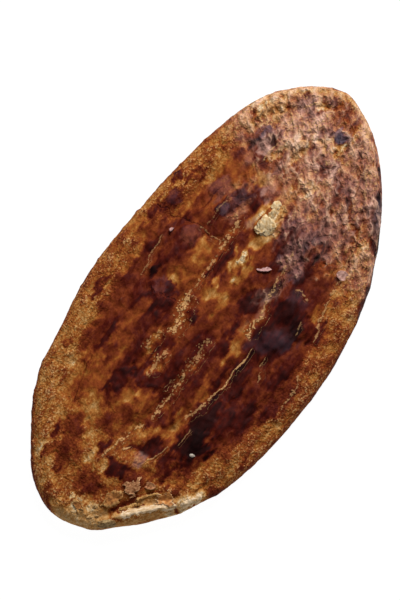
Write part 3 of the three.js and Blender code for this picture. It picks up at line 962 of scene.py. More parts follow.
@dataclass(frozen=True)
class BakedCrust:
    """Crust of wheat dough baked on a hearth: dry and sandy where it is golden, satin where it is scorched.

    sand, fleck, streak, grit and crumple are the sizes of its patterns in mm. Each bite is how far a
    pattern shifts the bake, and each height how far it stands up, in mm. Grit is crumbs with sharp gaps
    between them and crumple is facets that meet in sharp folds, and their means are those of such
    patterns. The bites of grit, crumple and cracks paint shade into the gaps, valleys and cracks, and
    crumple's bite lightens the folds. Crests, lines and flour show from none to full between their two
    values, and the crests and the flour on high grains carry a painted highlight.
    """

    sand: float = 1.15
    sand_bite: float = 0.58
    sand_height: float = 0.58
    fleck: float = 2.8
    fleck_length: float = 7.0
    fleck_bite: float = 0.24
    streak: float = 1.6
    streak_length: float = 7.0
    streak_bite: float = 0.16
    streak_height: float = 0.25
    swirl: float = 7.0
    swirl_by: float = 3.5
    grit: float = 1.7
    grit_length: float = 2.2
    grit_bite: float = 0.08
    grit_height: float = 0.4
    grit_mean: float = 1.15
    crumple: float = 3.9
    crumple_length: float = 7.5
    crumple_turn: float = 42.0
    crumple_bite: float = 0.22
    crumple_height: float = 2.1
    crumple_mean: float = 0.78
    noise_mean: float = 0.5
    smooth_bite: float = 0.2
    crest_from: float = 0.18
    crest_to: float = 0.44
    crest_share: float = 0.5
    line_from: float = 1.0
    line_to: float = 0.1
    flour_and_highlight_from: float = 0.64
    flour_and_highlight_to: float = 0.84
    flour_and_highlight_by_dust: float = 0.5
    flour_and_highlight_spread: float = 5.0
    blush_and_sheen_on_folds: float = 1.2
    crease_height: float = 0.45
    crack_depth: float = 0.7
    crack_bite: float = 0.32
    dry_roughness: float = 0.8
    satin_roughness: float = 0.62
    shine: float = 0.04
    satin_shine: float = 0.055
    painted_sheen_share: float = 0.4
    # Flour, with a painted highlight on the high grains that it lies on.
    flour_and_highlight: str = "#cf9f68"
    crease_colour: str = "#cfa06a"
    # Pale worn crests, with a painted highlight.
    crest_colour: str = "#d6aa8a"
    # Pink skin with a painted sheen.
    blush_and_sheen_colour: str = "#e0b09e"
    # A painted bluish sheen.
    painted_sheen_colour: str = "#6a6070"

    def material(self) -> bpy.types.Material:
        """Makes the crust's material.

        Returns:
            The material.
        """
        material, tree = new_material("baked_crust")
        marks = {
            name: add_node(tree, "ShaderNodeAttribute", {"attribute_name": name}).outputs["Fac"]
            for name in CRUST_MARKS
        }
        marks |= self._patterns(tree, marks)
        marks |= self._lines(tree, marks)
        roughness = add_node(
            tree,
            "ShaderNodeMapRange",
            inputs={"Value": marks["polish"], "To Min": self.dry_roughness, "To Max": self.satin_roughness},
        ).outputs["Result"]
        shine = add_node(
            tree,
            "ShaderNodeMapRange",
            inputs={"Value": marks["polish"], "To Min": self.shine, "To Max": self.satin_shine},
        ).outputs["Result"]
        bump = add_node(
            tree,
            "ShaderNodeBump",
            inputs={"Strength": 1.0, "Distance": MM, "Height": self._height(tree, marks)},
        ).outputs["Normal"]
        finish_material(
            tree,
            {
                "Base Color": self._colour(tree, marks),
                "Roughness": roughness,
                "Normal": bump,
                "Specular IOR Level": shine,
            },
        )
        return material

    def _patterns(self, tree: bpy.types.NodeTree, marks: dict) -> dict:
        """Makes the fine patterns, with grit and crumples only as strong as the skin has them.

        Args:
            tree: the material's node tree.
            marks: the outputs of the crust's marks, by name.

        Returns:
            The outputs of the patterns, by name.
        """
        place = add_node(tree, "ShaderNodeTexCoord").outputs["Object"]
        swirls = add_node(
            tree, "ShaderNodeTexNoise", inputs={"Vector": place, "Scale": 1 / (self.swirl * MM)}
        ).outputs["Color"]
        swirled = add_node(
            tree,
            "ShaderNodeVectorMath",
            {"operation": "MULTIPLY_ADD"},
            {0: swirls, 1: (self.swirl_by * MM,) * 3, 2: place},
        ).outputs[0]
        drawn = {
            name: add_node(
                tree,
                "ShaderNodeMapping",
                {"vector_type": "TEXTURE"},
                {
                    "Vector": vector,
                    "Rotation": (0.0, 0.0, math.radians(turn)),
                    "Scale": (length / size, 1.0, 1.0),
                },
            ).outputs["Vector"]
            for name, vector, turn, length, size in (
                ("fleck", place, 0.0, self.fleck_length, self.fleck),
                ("streak", place, 0.0, self.streak_length, self.streak),
                ("grit", swirled, 0.0, self.grit_length, self.grit),
                ("crumple", swirled, self.crumple_turn, self.crumple_length, self.crumple),
            )
        }
        patterns = {
            name: add_node(
                tree,
                "ShaderNodeTexNoise",
                inputs={"Vector": vector, "Scale": 1 / (size * MM), "Detail": 3.0, "Roughness": rough},
            ).outputs["Fac"]
            for name, vector, size, rough in (
                ("sand", place, self.sand, 0.65),
                ("fleck", drawn["fleck"], self.fleck, 0.55),
                ("streak", drawn["streak"], self.streak, 0.5),
            )
        }
        for name, size, share, detail, mean in (
            ("grit", self.grit, "grain", 1.0, self.grit_mean),
            ("crumple", self.crumple, "wrinkle", 0.0, self.crumple_mean),
        ):
            facets = add_node(
                tree,
                "ShaderNodeTexVoronoi",
                {"distance": "MANHATTAN"},
                {"Vector": drawn[name], "Scale": 1 / (size * MM), "Detail": detail},
            ).outputs["Distance"]
            patterns[f"bare_{name}"] = add_node(
                tree, "ShaderNodeMath", {"operation": "SUBTRACT"}, {0: facets, 1: mean}
            ).outputs[0]
            patterns[name] = add_node(
                tree,
                "ShaderNodeMath",
                {"operation": "MULTIPLY"},
                {0: patterns[f"bare_{name}"], 1: marks[share]},
            ).outputs[0]
        # The crests of the crumples take a paler colour: partly pale worn crests, partly a painted
        # highlight.
        patterns["crest"] = add_node(
            tree,
            "ShaderNodeMapRange",
            inputs={
                "Value": patterns["crumple"],
                "From Min": self.crest_from,
                "From Max": self.crest_to,
                "To Max": self.crest_share,
            },
        ).outputs["Result"]
        return patterns

    def _lines(self, tree: bpy.types.NodeTree, marks: dict) -> dict:
        """Makes the masks of the pale creases and of the cracks, which break up along the grit.

        Args:
            tree: the material's node tree.
            marks: the outputs of the crust's marks and patterns, by name.

        Returns:
            The outputs of the two masks, by name.
        """
        masks = {}
        for mask, beside, shown, crumbly in (
            ("crease", "beside_crease", "creased", "crumbly_crease"),
            ("crack", "beside_crack", "cracked", "crumbly_crack"),
        ):
            away = add_node(
                tree, "ShaderNodeMath", {"operation": "ABSOLUTE"}, {0: marks[beside]}
            ).outputs[0]
            ragged = add_node(
                tree,
                "ShaderNodeMath",
                {"operation": "MULTIPLY_ADD"},
                {0: marks["bare_grit"], 1: marks[crumbly], 2: away},
            ).outputs[0]
            near = add_node(
                tree,
                "ShaderNodeMapRange",
                {"interpolation_type": "SMOOTHSTEP"},
                {"Value": ragged, "From Min": self.line_from, "From Max": self.line_to},
            ).outputs["Result"]
            masks[mask] = add_node(
                tree, "ShaderNodeMath", {"operation": "MULTIPLY"}, {0: near, 1: marks[shown]}
            ).outputs[0]
        return masks

    def _height(self, tree: bpy.types.NodeTree, marks: dict) -> bpy.types.NodeSocket:
        """Adds up the fine relief.

        Args:
            tree: the material's node tree.
            marks: the outputs of the crust's marks and patterns, by name.

        Returns:
            The output that carries the height, in mm.
        """
        height = add_node(
            tree, "ShaderNodeMath", {"operation": "MULTIPLY"}, {0: marks["streak"], 1: self.streak_height}
        ).outputs[0]
        sandy = add_node(
            tree, "ShaderNodeMath", {"operation": "MULTIPLY"}, {0: marks["sand"], 1: marks["grain"]}
        ).outputs[0]
        for pattern, amount in (
            (sandy, self.sand_height),
            (marks["grit"], -self.grit_height),
            (marks["crumple"], self.crumple_height),
            (marks["crease"], self.crease_height),
            (marks["crack"], -self.crack_depth),
        ):
            height = add_node(
                tree, "ShaderNodeMath", {"operation": "MULTIPLY_ADD"}, {0: pattern, 1: amount, 2: height}
            ).outputs[0]
        return height

    def _colour(self, tree: bpy.types.NodeTree, marks: dict) -> bpy.types.NodeSocket:
        """Finds the colour: that of the bake with painted shade in its hollows, then over it the crests
        with a painted highlight, the pink skin with a painted sheen, a painted bluish sheen, the pale
        creases, and the flour with a painted highlight.

        Args:
            tree: the material's node tree.
            marks: the outputs of the crust's marks and patterns, by name.

        Returns:
            The output that carries the colour.
        """
        grainy = add_node(
            tree,
            "ShaderNodeMapRange",
            inputs={
                "Value": marks["grain"],
                "To Min": -self.smooth_bite * self.sand_bite,
                "To Max": -self.sand_bite,
            },
        ).outputs["Result"]
        level = marks["bake"]
        # Painted shade and highlight: grit darkens the gaps between its crumbs, crumple darkens the valleys
        # of the crumples and lightens their folds, and the cracks darken.
        for pattern, bite, mean in (
            ("sand", grainy, self.noise_mean),
            ("fleck", self.fleck_bite, self.noise_mean),
            ("streak", self.streak_bite, self.noise_mean),
            ("grit", self.grit_bite, 0.0),
            ("crumple", -self.crumple_bite, 0.0),
            ("crack", self.crack_bite, 0.0),
        ):
            centred = add_node(
                tree, "ShaderNodeMath", {"operation": "SUBTRACT"}, {0: marks[pattern], 1: mean}
            ).outputs[0]
            level = add_node(
                tree, "ShaderNodeMath", {"operation": "MULTIPLY_ADD"}, {0: centred, 1: bite, 2: level}
            ).outputs[0]
        ramp = add_node(tree, "ShaderNodeValToRGB", inputs={"Fac": level})
        self._fill_ramp(ramp.color_ramp)
        # Painted sheen: the pink skin and its sheen are stronger on the folds of the crumples.
        lifted = add_node(
            tree,
            "ShaderNodeMath",
            {"operation": "MULTIPLY_ADD"},
            {0: marks["crumple"], 1: self.blush_and_sheen_on_folds, 2: 1.0},
        ).outputs[0]
        rosy = add_node(
            tree,
            "ShaderNodeMath",
            {"operation": "MULTIPLY", "use_clamp": True},
            {0: lifted, 1: marks["blush_and_sheen"]},
        ).outputs[0]
        # Painted sheen: a bluish tint for the light that glossy, scorched skin reflects.
        sheen_paint = add_node(
            tree, "ShaderNodeMath", {"operation": "MULTIPLY"}, {0: marks["painted_sheen"], 1: self.painted_sheen_share}
        ).outputs[0]
        colour = ramp.outputs["Color"]
        for share, coat in (
            (marks["crest"], self.crest_colour),
            (rosy, self.blush_and_sheen_colour),
            (sheen_paint, self.painted_sheen_colour),
            (marks["crease"], self.crease_colour),
            (self._flour_and_highlight(tree, marks), self.flour_and_highlight),
        ):
            colour = add_node(
                tree, "ShaderNodeMix", {"data_type": "RGBA"}, {"Factor": share, 6: colour, 7: linear(coat)}
            ).outputs[2]
        return colour

    def _flour_and_highlight(self, tree: bpy.types.NodeTree, marks: dict) -> bpy.types.NodeSocket:
        """Finds where specks of flour and painted highlight lie: on the high grains of the dusty parts.

        Args:
            tree: the material's node tree.
            marks: the outputs of the crust's marks and patterns, by name.

        Returns:
            The output that carries the share of flour and painted highlight.
        """
        raised = add_node(
            tree,
            "ShaderNodeMath",
            {"operation": "MULTIPLY_ADD"},
            {0: marks["dust"], 1: self.flour_and_highlight_by_dust, 2: marks["sand"]},
        ).outputs[0]
        specks = add_node(
            tree,
            "ShaderNodeMapRange",
            inputs={"Value": raised, "From Min": self.flour_and_highlight_from, "From Max": self.flour_and_highlight_to},
        ).outputs["Result"]
        spread = add_node(
            tree,
            "ShaderNodeMath",
            {"operation": "MULTIPLY", "use_clamp": True},
            {0: marks["dust"], 1: self.flour_and_highlight_spread},
        ).outputs[0]
        return add_node(
            tree, "ShaderNodeMath", {"operation": "MULTIPLY"}, {0: specks, 1: spread}
        ).outputs[0]

    @staticmethod
    def _fill_ramp(ramp: bpy.types.ColorRamp) -> None:
        """Gives a colour ramp the colour of every bake.

        Args:
            ramp: the new ramp.
        """
        while len(ramp.elements) > 1:
            ramp.elements.remove(ramp.elements[-1])
        first, *others = Bake
        ramp.elements[0].position = first.level
        ramp.elements[0].color = linear(first.colour)
        for stage in others:
            ramp.elements.new(stage.level).color = linear(stage.colour)


@dataclass(frozen=True)
class SeedCoat:
    """Hulled sesame: a dull ivory seed coat with a faint mottle."""

    light: str = "#cabeae"
    dark: str = "#9a8b7e"
    mottle: float = 1.1

    def material(self) -> bpy.types.Material:
        """Makes the seed's material.

        Returns:
            The material.
        """
        material, tree = new_material("sesame_seed_coat")
        place = add_node(tree, "ShaderNodeTexCoord").outputs["Object"]
        mottle = add_node(
            tree, "ShaderNodeTexNoise", inputs={"Vector": place, "Scale": 1 / (self.mottle * MM)}
        ).outputs["Fac"]
        colour = add_node(
            tree,
            "ShaderNodeMix",
            {"data_type": "RGBA"},
            {"Factor": mottle, 6: linear(self.light), 7: linear(self.dark)},
        ).outputs[2]
        finish_material(tree, {"Base Color": colour, "Roughness": 0.5})
        return material


@dataclass(frozen=True)
class DryFlake:
    """Thin dry flakes of crust, skin or crumb: mottled between two tones, rough, and finely pitted.

    Fibres longer than the mottle draw it out along their turn, and worn is the tone of the rim, where
    there is one. Lengths are in mm.
    """

    name: str
    light: str
    dark: str
    worn: str = ""
    mottle: float = 1.4
    fibre: float = 1.4
    fibre_turn: float = -45.0
    pits: float = 0.35
    roughness: float = 0.7
    dark_until: float = 0.35
    light_from: float = 0.65

    def material(self) -> bpy.types.Material:
        """Makes the flake's material, or finds it where another flake has it already.

        Returns:
            The material.
        """
        if self.name in bpy.data.materials:
            return bpy.data.materials[self.name]
        material, tree = new_material(self.name)
        place = add_node(tree, "ShaderNodeTexCoord").outputs["Object"]
        drawn = add_node(
            tree,
            "ShaderNodeMapping",
            {"vector_type": "TEXTURE"},
            {
                "Vector": place,
                "Rotation": (0.0, 0.0, math.radians(self.fibre_turn)),
                "Scale": (self.fibre / self.mottle, 1.0, 1.0),
            },
        ).outputs["Vector"]
        mottle = add_node(
            tree,
            "ShaderNodeTexNoise",
            inputs={"Vector": drawn, "Scale": 1 / (self.mottle * MM), "Detail": 3.0},
        ).outputs["Fac"]
        ramp = add_node(
            tree,
            "ShaderNodeMapRange",
            inputs={"Value": mottle, "From Min": self.dark_until, "From Max": self.light_from},
        ).outputs["Result"]
        colour = add_node(
            tree,
            "ShaderNodeMix",
            {"data_type": "RGBA"},
            {"Factor": ramp, 6: linear(self.dark), 7: linear(self.light)},
        ).outputs[2]
        if self.worn:
            rim = add_node(tree, "ShaderNodeAttribute", {"attribute_name": RIM_MARK}).outputs["Fac"]
            colour = add_node(
                tree,
                "ShaderNodeMix",
                {"data_type": "RGBA"},
                {"Factor": rim, 6: colour, 7: linear(self.worn)},
            ).outputs[2]
        bump = add_node(
            tree,
            "ShaderNodeBump",
            inputs={"Strength": 0.8, "Distance": self.pits * MM, "Height": mottle},
        ).outputs["Normal"]
        finish_material(
            tree,
            {"Base Color": colour, "Roughness": self.roughness, "Normal": bump, "Specular IOR Level": 0.2},
        )
        return material


@dataclass(frozen=True)
class OpalAcrylic:
    """Opal acrylic of a light table: matte, white, and lit from below, so that shadows on it are faint."""

    colour: str = "#4c4c4c"
    glow: float = 0.98

    def material(self) -> bpy.types.Material:
        """Makes the table's material.

        Returns:
            The material.
        """
        material, tree = new_material("opal_acrylic")
        finish_material(
            tree,
            {
                "Base Color": linear(self.colour),
                "Roughness": 0.9,
                "Specular IOR Level": 0.0,
                "Emission Color": (1.0, 1.0, 1.0, 1.0),
                "Emission Strength": self.glow,
            },
        )
        return material


# ---- The loaf ----------------------------------------------------------------------------------------


@dataclass
class Loaf:
    """The loaf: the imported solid, made smooth and fine, with the relief and the bake of its crust.

    weld, waist and waist_band are in mm, and quad_angle is in degrees. Within flat_to of a fused bit, in
    reaches of it, the crust is pressed flat, and from flat_from on it stays as it is. The crust between
    ring_from and ring_to gives the slope.
    """

    finish: BakedCrust
    fineness: int = 2
    weld: float = 0.01
    quad_angle: float = 40.0
    waist: float = 5.5
    waist_band: float = 0.35
    flat_to: float = 1.2
    flat_from: float = 1.6
    ring_from: float = 1.5
    ring_to: float = 2.4
    shape: bpy.types.Object = field(init=False)

    def build(self) -> bpy.types.Object:
        """Builds and dresses the loaf.

        Returns:
            The finished piece.
        """
        self._copy_solid()
        self._refine()
        self._press_flat()
        self._raise_crust()
        settle(self.shape, self.finish.material())
        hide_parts(LOAF_NODE)
        return self.shape

    def _copy_solid(self) -> None:
        """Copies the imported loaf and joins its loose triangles."""
        make_active(frame["nodes"][LOAF_NODE])
        bpy.ops.object.duplicate()
        self.shape = bpy.context.object
        self.shape.name = "loaf"
        self.shape.parent = None
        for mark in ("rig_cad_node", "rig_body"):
            del self.shape[mark]
        bpy.ops.object.mode_set(mode="EDIT")
        bpy.ops.mesh.select_all(action="SELECT")
        bpy.ops.mesh.remove_doubles(threshold=self.weld * MM)
        angle = math.radians(self.quad_angle)
        bpy.ops.mesh.tris_convert_to_quads(face_threshold=angle, shape_threshold=angle)
        bpy.ops.object.mode_set(mode="OBJECT")

    def _refine(self) -> None:
        """Rounds the facets into a fine, smooth skin."""
        apply_modifier(self.shape, "SUBSURF", levels=self.fineness, render_levels=self.fineness)
        bpy.ops.object.shade_smooth()

    def _press_flat(self) -> None:
        """Presses the fused seed and chips flat, because finer ones are laid in their place."""
        mesh = self.shape.data
        points = vertex_array(mesh, "co") / MM
        plan = np.column_stack([points[:, :2], np.ones(len(points))])
        upper = points[:, 2] > self.waist
        for bit in FUSED_BITS:
            reach = bit.reach(points[:, :2])
            ring = upper & (reach > self.ring_from) & (reach < self.ring_to)
            slopes, *_ = np.linalg.lstsq(plan[ring], points[ring, 2], rcond=None)
            pressed = ease(reach, self.flat_from, self.flat_to)
            points[:, 2] += (plan @ slopes - points[:, 2]) * pressed * upper
        mesh.vertices.foreach_set("co", (points * MM).astype(np.float32).ravel())
        mesh.update()

    def _crust_map(self) -> CrustMap:
        """Reads the mesh into a map of the crust."""
        points = vertex_array(self.shape.data, "co") / MM
        normals = vertex_array(self.shape.data, "normal")
        edge = points[np.abs(points[:, 2] - self.waist) < self.waist_band]
        tree = kdtree.KDTree(len(edge))
        for index, place in enumerate(edge):
            tree.insert((place[0], place[1], 0.0), index)
        tree.balance()
        inset = np.array([tree.find((x, y, 0.0))[2] for x, y, _ in points.tolist()])
        return CrustMap(points, normals[:, 2], inset)

    def _raise_crust(self) -> None:
        """Moves the crust by its fine relief, and stores how it has baked."""
        mesh = self.shape.data
        crust = self._crust_map()
        moved = vertex_array(mesh, "co") + vertex_array(mesh, "normal") * crust.relief()[:, None] * MM
        moved[:, 2] = np.maximum(moved[:, 2], 0.0)
        mesh.vertices.foreach_set("co", moved.astype(np.float32).ravel())
        mesh.update()
        for name, values in crust.marks().items():
            store(mesh, name, values)


# ---- What lies on the crust --------------------------------------------------------------------------


@dataclass
class Bit:
    """Something small on the loaf. Lengths are in mm, and at is a place in plan."""

    slot: ClassVar[str] = "flake"

    name: str
    finish: SeedCoat | DryFlake

    def build(self, loaf: bpy.types.Object) -> bpy.types.Object:
        """Builds the piece where it lies on the crust.

        Args:
            loaf: the finished loaf.

        Returns:
            The finished piece.
        """
        deselect_all()
        self._add_blank()
        piece = bpy.context.object
        piece.name = self.name
        self._form(piece, loaf)
        make_active(piece)
        bpy.ops.object.shade_smooth()
        settle(piece, self.finish.material())
        return piece

    def _add_blank(self) -> None:
        """Adds the plain mesh that the piece is formed from."""
        raise NotImplementedError

    def _form(self, piece: bpy.types.Object, loaf: bpy.types.Object) -> None:
        """Forms the plain mesh into the piece, in its place on the loaf."""
        raise NotImplementedError


@dataclass
class SesameSeed(Bit):
    """One hulled sesame seed: a flat drop with a pointed end."""

    slot: ClassVar[str] = "sesame"

    at: tuple[float, float] = (-80.1, -35.3)
    length: float = 3.4
    width: float = 2.0
    thickness: float = 1.0
    turn: float = -72.0
    point: float = 0.45
    lift_share: float = 0.35

    def _add_blank(self) -> None:
        """Adds a ball."""
        bpy.ops.mesh.primitive_uv_sphere_add(segments=20, ring_count=12, radius=0.5)

    def _form(self, piece: bpy.types.Object, loaf: bpy.types.Object) -> None:
        """Draws the ball out into the drop, and lays it down.

        Args:
            piece: the ball.
            loaf: the finished loaf.
        """
        for vertex in piece.data.vertices:
            narrowing = 1 - self.point * max(vertex.co.z * 2, 0) ** 1.5
            vertex.co = Vector((
                vertex.co.z * self.length,
                vertex.co.x * self.width * narrowing,
                vertex.co.y * self.thickness * narrowing,
            )) * MM
        piece.data.transform(lying_on(loaf, self.at, self.turn, self.thickness * self.lift_share))


@dataclass
class Chip(Bit):
    """A curled chip of crust with pointed ends."""

    at: tuple[float, float]
    length: float
    width: float
    turn: float
    curl: float = 0.9
    lift: float = 0.5
    thickness: float = 0.5
    blunt: float = 0.7
    waver: float = 0.18
    dent: float = 0.35

    def _add_blank(self) -> None:
        """Adds a flat grid."""
        bpy.ops.mesh.primitive_grid_add(x_subdivisions=18, y_subdivisions=8, size=1)

    def _form(self, piece: bpy.types.Object, loaf: bpy.types.Object) -> None:
        """Curls the grid, lays it down and thickens it.

        Args:
            piece: the flat grid.
            loaf: the finished loaf.
        """
        for vertex in piece.data.vertices:
            vertex.co = self._shaped(vertex.co.x, vertex.co.y) * MM
        piece.data.transform(lying_on(loaf, self.at, self.turn, self.lift))
        apply_modifier(piece, "SOLIDIFY", thickness=self.thickness * MM, offset=0.0)
        apply_modifier(piece, "SUBSURF", levels=1, render_levels=1)

    def _shaped(self, along: float, across: float) -> Vector:
        """Bends a point of the grid into the curled chip.

        Args:
            along: its place along the grid, from -0.5 to 0.5.
            across: its place across the grid, from -0.5 to 0.5.

        Returns:
            Where it goes, in mm from the chip's middle.
        """
        narrowing = max(math.cos(math.pi * along), 0.03) ** self.blunt
        waver = 1 + self.waver * noise.noise(Vector((along * 5, across * 3, self.at[0])))
        side = across * self.width * narrowing * waver
        dent = self.dent * noise.noise(Vector((along * 4, across * 4, 7.0)))
        rise = self.curl * (2 * across) ** 2 * narrowing + dent
        return Vector((along * self.length, side, rise))


@dataclass
class SkinFlake(Bit):
    """A flake of skin that has come loose from the crust, with lifted edges and a worn rim."""

    at: tuple[float, float]
    half: tuple[float, float]
    turn: float
    clearance: float = 0.35
    lift: float = 0.7
    thickness: float = 0.35
    cells: int = 34
    span: float = 2.6
    raggedness: float = 0.75
    worn_from: float = 0.6

    def _add_blank(self) -> None:
        """Adds a flat grid that is wider than the flake, with the flake's edge near 1 from its middle."""
        bpy.ops.mesh.primitive_grid_add(
            x_subdivisions=self.cells, y_subdivisions=self.cells, size=self.span
        )

    def _form(self, piece: bpy.types.Object, loaf: bpy.types.Object) -> None:
        """Trims the grid, lays it over the crust and thickens it.

        Args:
            piece: the flat grid.
            loaf: the finished loaf.
        """
        self._trim(piece, [self._reach(vertex.co.x, vertex.co.y) for vertex in piece.data.vertices])
        turn = Matrix.Rotation(math.radians(self.turn), 2)
        left = np.array([self._reach(vertex.co.x, vertex.co.y) for vertex in piece.data.vertices])
        store(piece.data, RIM_MARK, ease(left, self.worn_from, 1.0))
        for vertex, reach in zip(piece.data.vertices, left):
            plan = turn @ Vector((vertex.co.x * self.half[0], vertex.co.y * self.half[1]))
            top, normal = crust_at(loaf, (self.at[0] + plan.x, self.at[1] + plan.y))
            vertex.co = top + normal * (self.clearance + self.lift * reach**3) * MM
        apply_modifier(piece, "SMOOTH", iterations=2, factor=0.4)
        apply_modifier(piece, "SOLIDIFY", thickness=self.thickness * MM, offset=0.0)

    def _reach(self, along: float, across: float) -> float:
        """How far out a point of the grid lies: 0 in the middle and 1 on the flake's ragged edge."""
        ragged = noise.fractal(Vector((along * 1.7, across * 1.7, self.at[0])), 0.6, 2.0, 4)
        return max(math.hypot(along, across) * (1 + self.raggedness * ragged), 0.0)

    @staticmethod
    def _trim(flake: bpy.types.Object, reaches: list[float]) -> None:
        """Cuts away what lies past the ragged edge, then the scraps that hang by a corner or lie loose.

        Args:
            flake: the flat grid.
            reaches: how far out each of its vertices lies.
        """
        for vertex, reach in zip(flake.data.vertices, reaches):
            vertex.select = reach > 1.0
        for part in (*flake.data.edges, *flake.data.polygons):
            part.select = all(flake.data.vertices[i].select for i in part.vertices)
        bpy.ops.object.mode_set(mode="EDIT")
        bpy.ops.mesh.select_mode(type="VERT")
        bpy.ops.mesh.delete(type="VERT")
        for _ in range(PINCH_ROUNDS):
            bpy.ops.mesh.select_all(action="DESELECT")
            bpy.ops.mesh.select_non_manifold(extend=False, use_boundary=False)
            bpy.ops.mesh.delete(type="VERT")
        bpy.ops.mesh.select_all(action="DESELECT")
        bpy.ops.object.mode_set(mode="OBJECT")
        min(flake.data.vertices, key=lambda vertex: vertex.co.length).select = True
        bpy.ops.object.mode_set(mode="EDIT")
        bpy.ops.mesh.select_linked()
        bpy.ops.mesh.select_all(action="INVERT")
        bpy.ops.mesh.delete(type="VERT")
        bpy.ops.object.mode_set(mode="OBJECT")


@dataclass
class TornStrip(Bit):
    """A strip of crumb or thin crust that a tear has left standing, with frayed sides."""

    path: tuple[tuple[float, float], ...]
    width: float
    rise: float = 1.3
    sunk: float = 0.45
    fray: float = 0.6
    ribs: float = 0.3
    thickness: float = 0.8
    cells: tuple[int, int] = (80, 14)
    end_width: float = 0.15
    widening: float = 9.0

    def _add_blank(self) -> None:
        """Adds a flat grid."""
        bpy.ops.mesh.primitive_grid_add(
            x_subdivisions=self.cells[0], y_subdivisions=self.cells[1], size=1
        )

    def _form(self, piece: bpy.types.Object, loaf: bpy.types.Object) -> None:
        """Bends the grid along its path on the crust, and thickens it.

        Args:
            piece: the flat grid.
            loaf: the finished loaf.
        """
        flat = vertex_array(piece.data, "co")
        for vertex, (along, across, _) in zip(piece.data.vertices, flat):
            vertex.co = self._placed(loaf, along + 0.5, 2 * across)
        apply_modifier(piece, "SOLIDIFY", thickness=self.thickness * MM, offset=-1.0)

    def _placed(self, loaf: bpy.types.Object, along: float, across: float) -> Vector:
        """Puts a point of the strip where it stands on the crust.

        Args:
            loaf: the finished loaf.
            along: its place along the strip, from 0 to 1.
            across: its place across the strip, from -1 to 1.

        Returns:
            The place, in metres.
        """
        middle, heading = self._walk(along)
        taper = min(
            1.0, self.widening * along + self.end_width, self.widening * (1 - along) + self.end_width
        )
        torn = noise.fractal(Vector((along * 8, across * 0.6, self.path[0][0])), 0.7, 2.0, 3)
        fray = 1 + self.fray * torn
        plan = middle + Vector((-heading.y, heading.x)) * across * self.width / 2 * taper * fray
        top, normal = crust_at(loaf, (plan.x, plan.y))
        rib = self.ribs * noise.fractal(Vector((along * 6, across * 3.5, self.path[0][1])), 0.7, 2.0, 3)
        return top + normal * ((self.rise + rib) * (1 - across**2) * taper - self.sunk) * MM

    def _walk(self, along: float) -> tuple[Vector, Vector]:
        """Follows the path.

        Args:
            along: how far, from 0 to 1.

        Returns:
            The plan point there, and the way that the path heads.
        """
        corners = [Vector(corner) for corner in self.path]
        lengths = [(end - start).length for start, end in zip(corners, corners[1:])]
        left = along * sum(lengths)
        for start, end, length in zip(corners, corners[1:], lengths):
            if left <= length:
                break
            left -= length
        heading = (end - start).normalized()
        return start + heading * min(left, length), heading


@dataclass
class Crumb(Bit):
    """A small lump on the crust: a pale blister, dough or a burnt fleck."""

    at: tuple[float, float]
    size: tuple[float, float, float]
    turn: float = 0.0
    sunk: float = 0.1
    lumpy: float = 0.35

    def _add_blank(self) -> None:
        """Adds a ball."""
        bpy.ops.mesh.primitive_ico_sphere_add(subdivisions=4, radius=0.5)

    def _form(self, piece: bpy.types.Object, loaf: bpy.types.Object) -> None:
        """Makes the ball lumpy, and sets it down.

        Args:
            piece: the ball.
            loaf: the finished loaf.
        """
        for vertex in piece.data.vertices:
            uneven = noise.fractal(vertex.co * 3.1 + Vector((self.at[0], 0, 0)), 0.7, 2.0, 3)
            bulge = 1 + self.lumpy * uneven
            vertex.co = Vector([part * size * bulge for part, size in zip(vertex.co, self.size)]) * MM
        piece.data.transform(lying_on(loaf, self.at, self.turn, -self.sunk))


def crust_at(loaf: bpy.types.Object, at: tuple[float, float]) -> tuple[Vector, Vector]:
    """Finds the top of the crust at a plan point, or the nearest point of its side past the outline.

    Args:
        loaf: the finished loaf.
        at: the plan point, in mm.

    Returns:
        The place in metres and the direction that the crust faces there.
    """
    above = Vector((at[0] * MM, at[1] * MM, 1.0))
    met, place, normal, _ = loaf.ray_cast(above, Vector((0, 0, -1)))
    if not met:
        beside = Vector((at[0], at[1], SIDE_HEIGHT)) * MM
        _, place, normal, _ = loaf.closest_point_on_mesh(beside)
    return place, normal


def lying_on(loaf: bpy.types.Object, at: tuple[float, float], turn: float, height: float) -> Matrix:
    """Gives the place of something small that lies flat on the crust.

    Args:
        loaf: the finished loaf.
        at: the plan point, in mm.
        turn: how far its length is turned from the X axis, in degrees.
        height: how far its middle stands off the crust, in mm.

    Returns:
        The matrix that puts it there.
    """
    top, normal = crust_at(loaf, at)
    angle = math.radians(turn)
    aside = normal.cross(Vector((math.cos(angle), math.sin(angle), 0))).normalized()
    lie = Matrix((aside.cross(normal), aside, normal)).transposed().to_4x4()
    return Matrix.Translation(top + normal * height * MM) @ lie


# ---- Floor, light and camera -------------------------------------------------------------------------


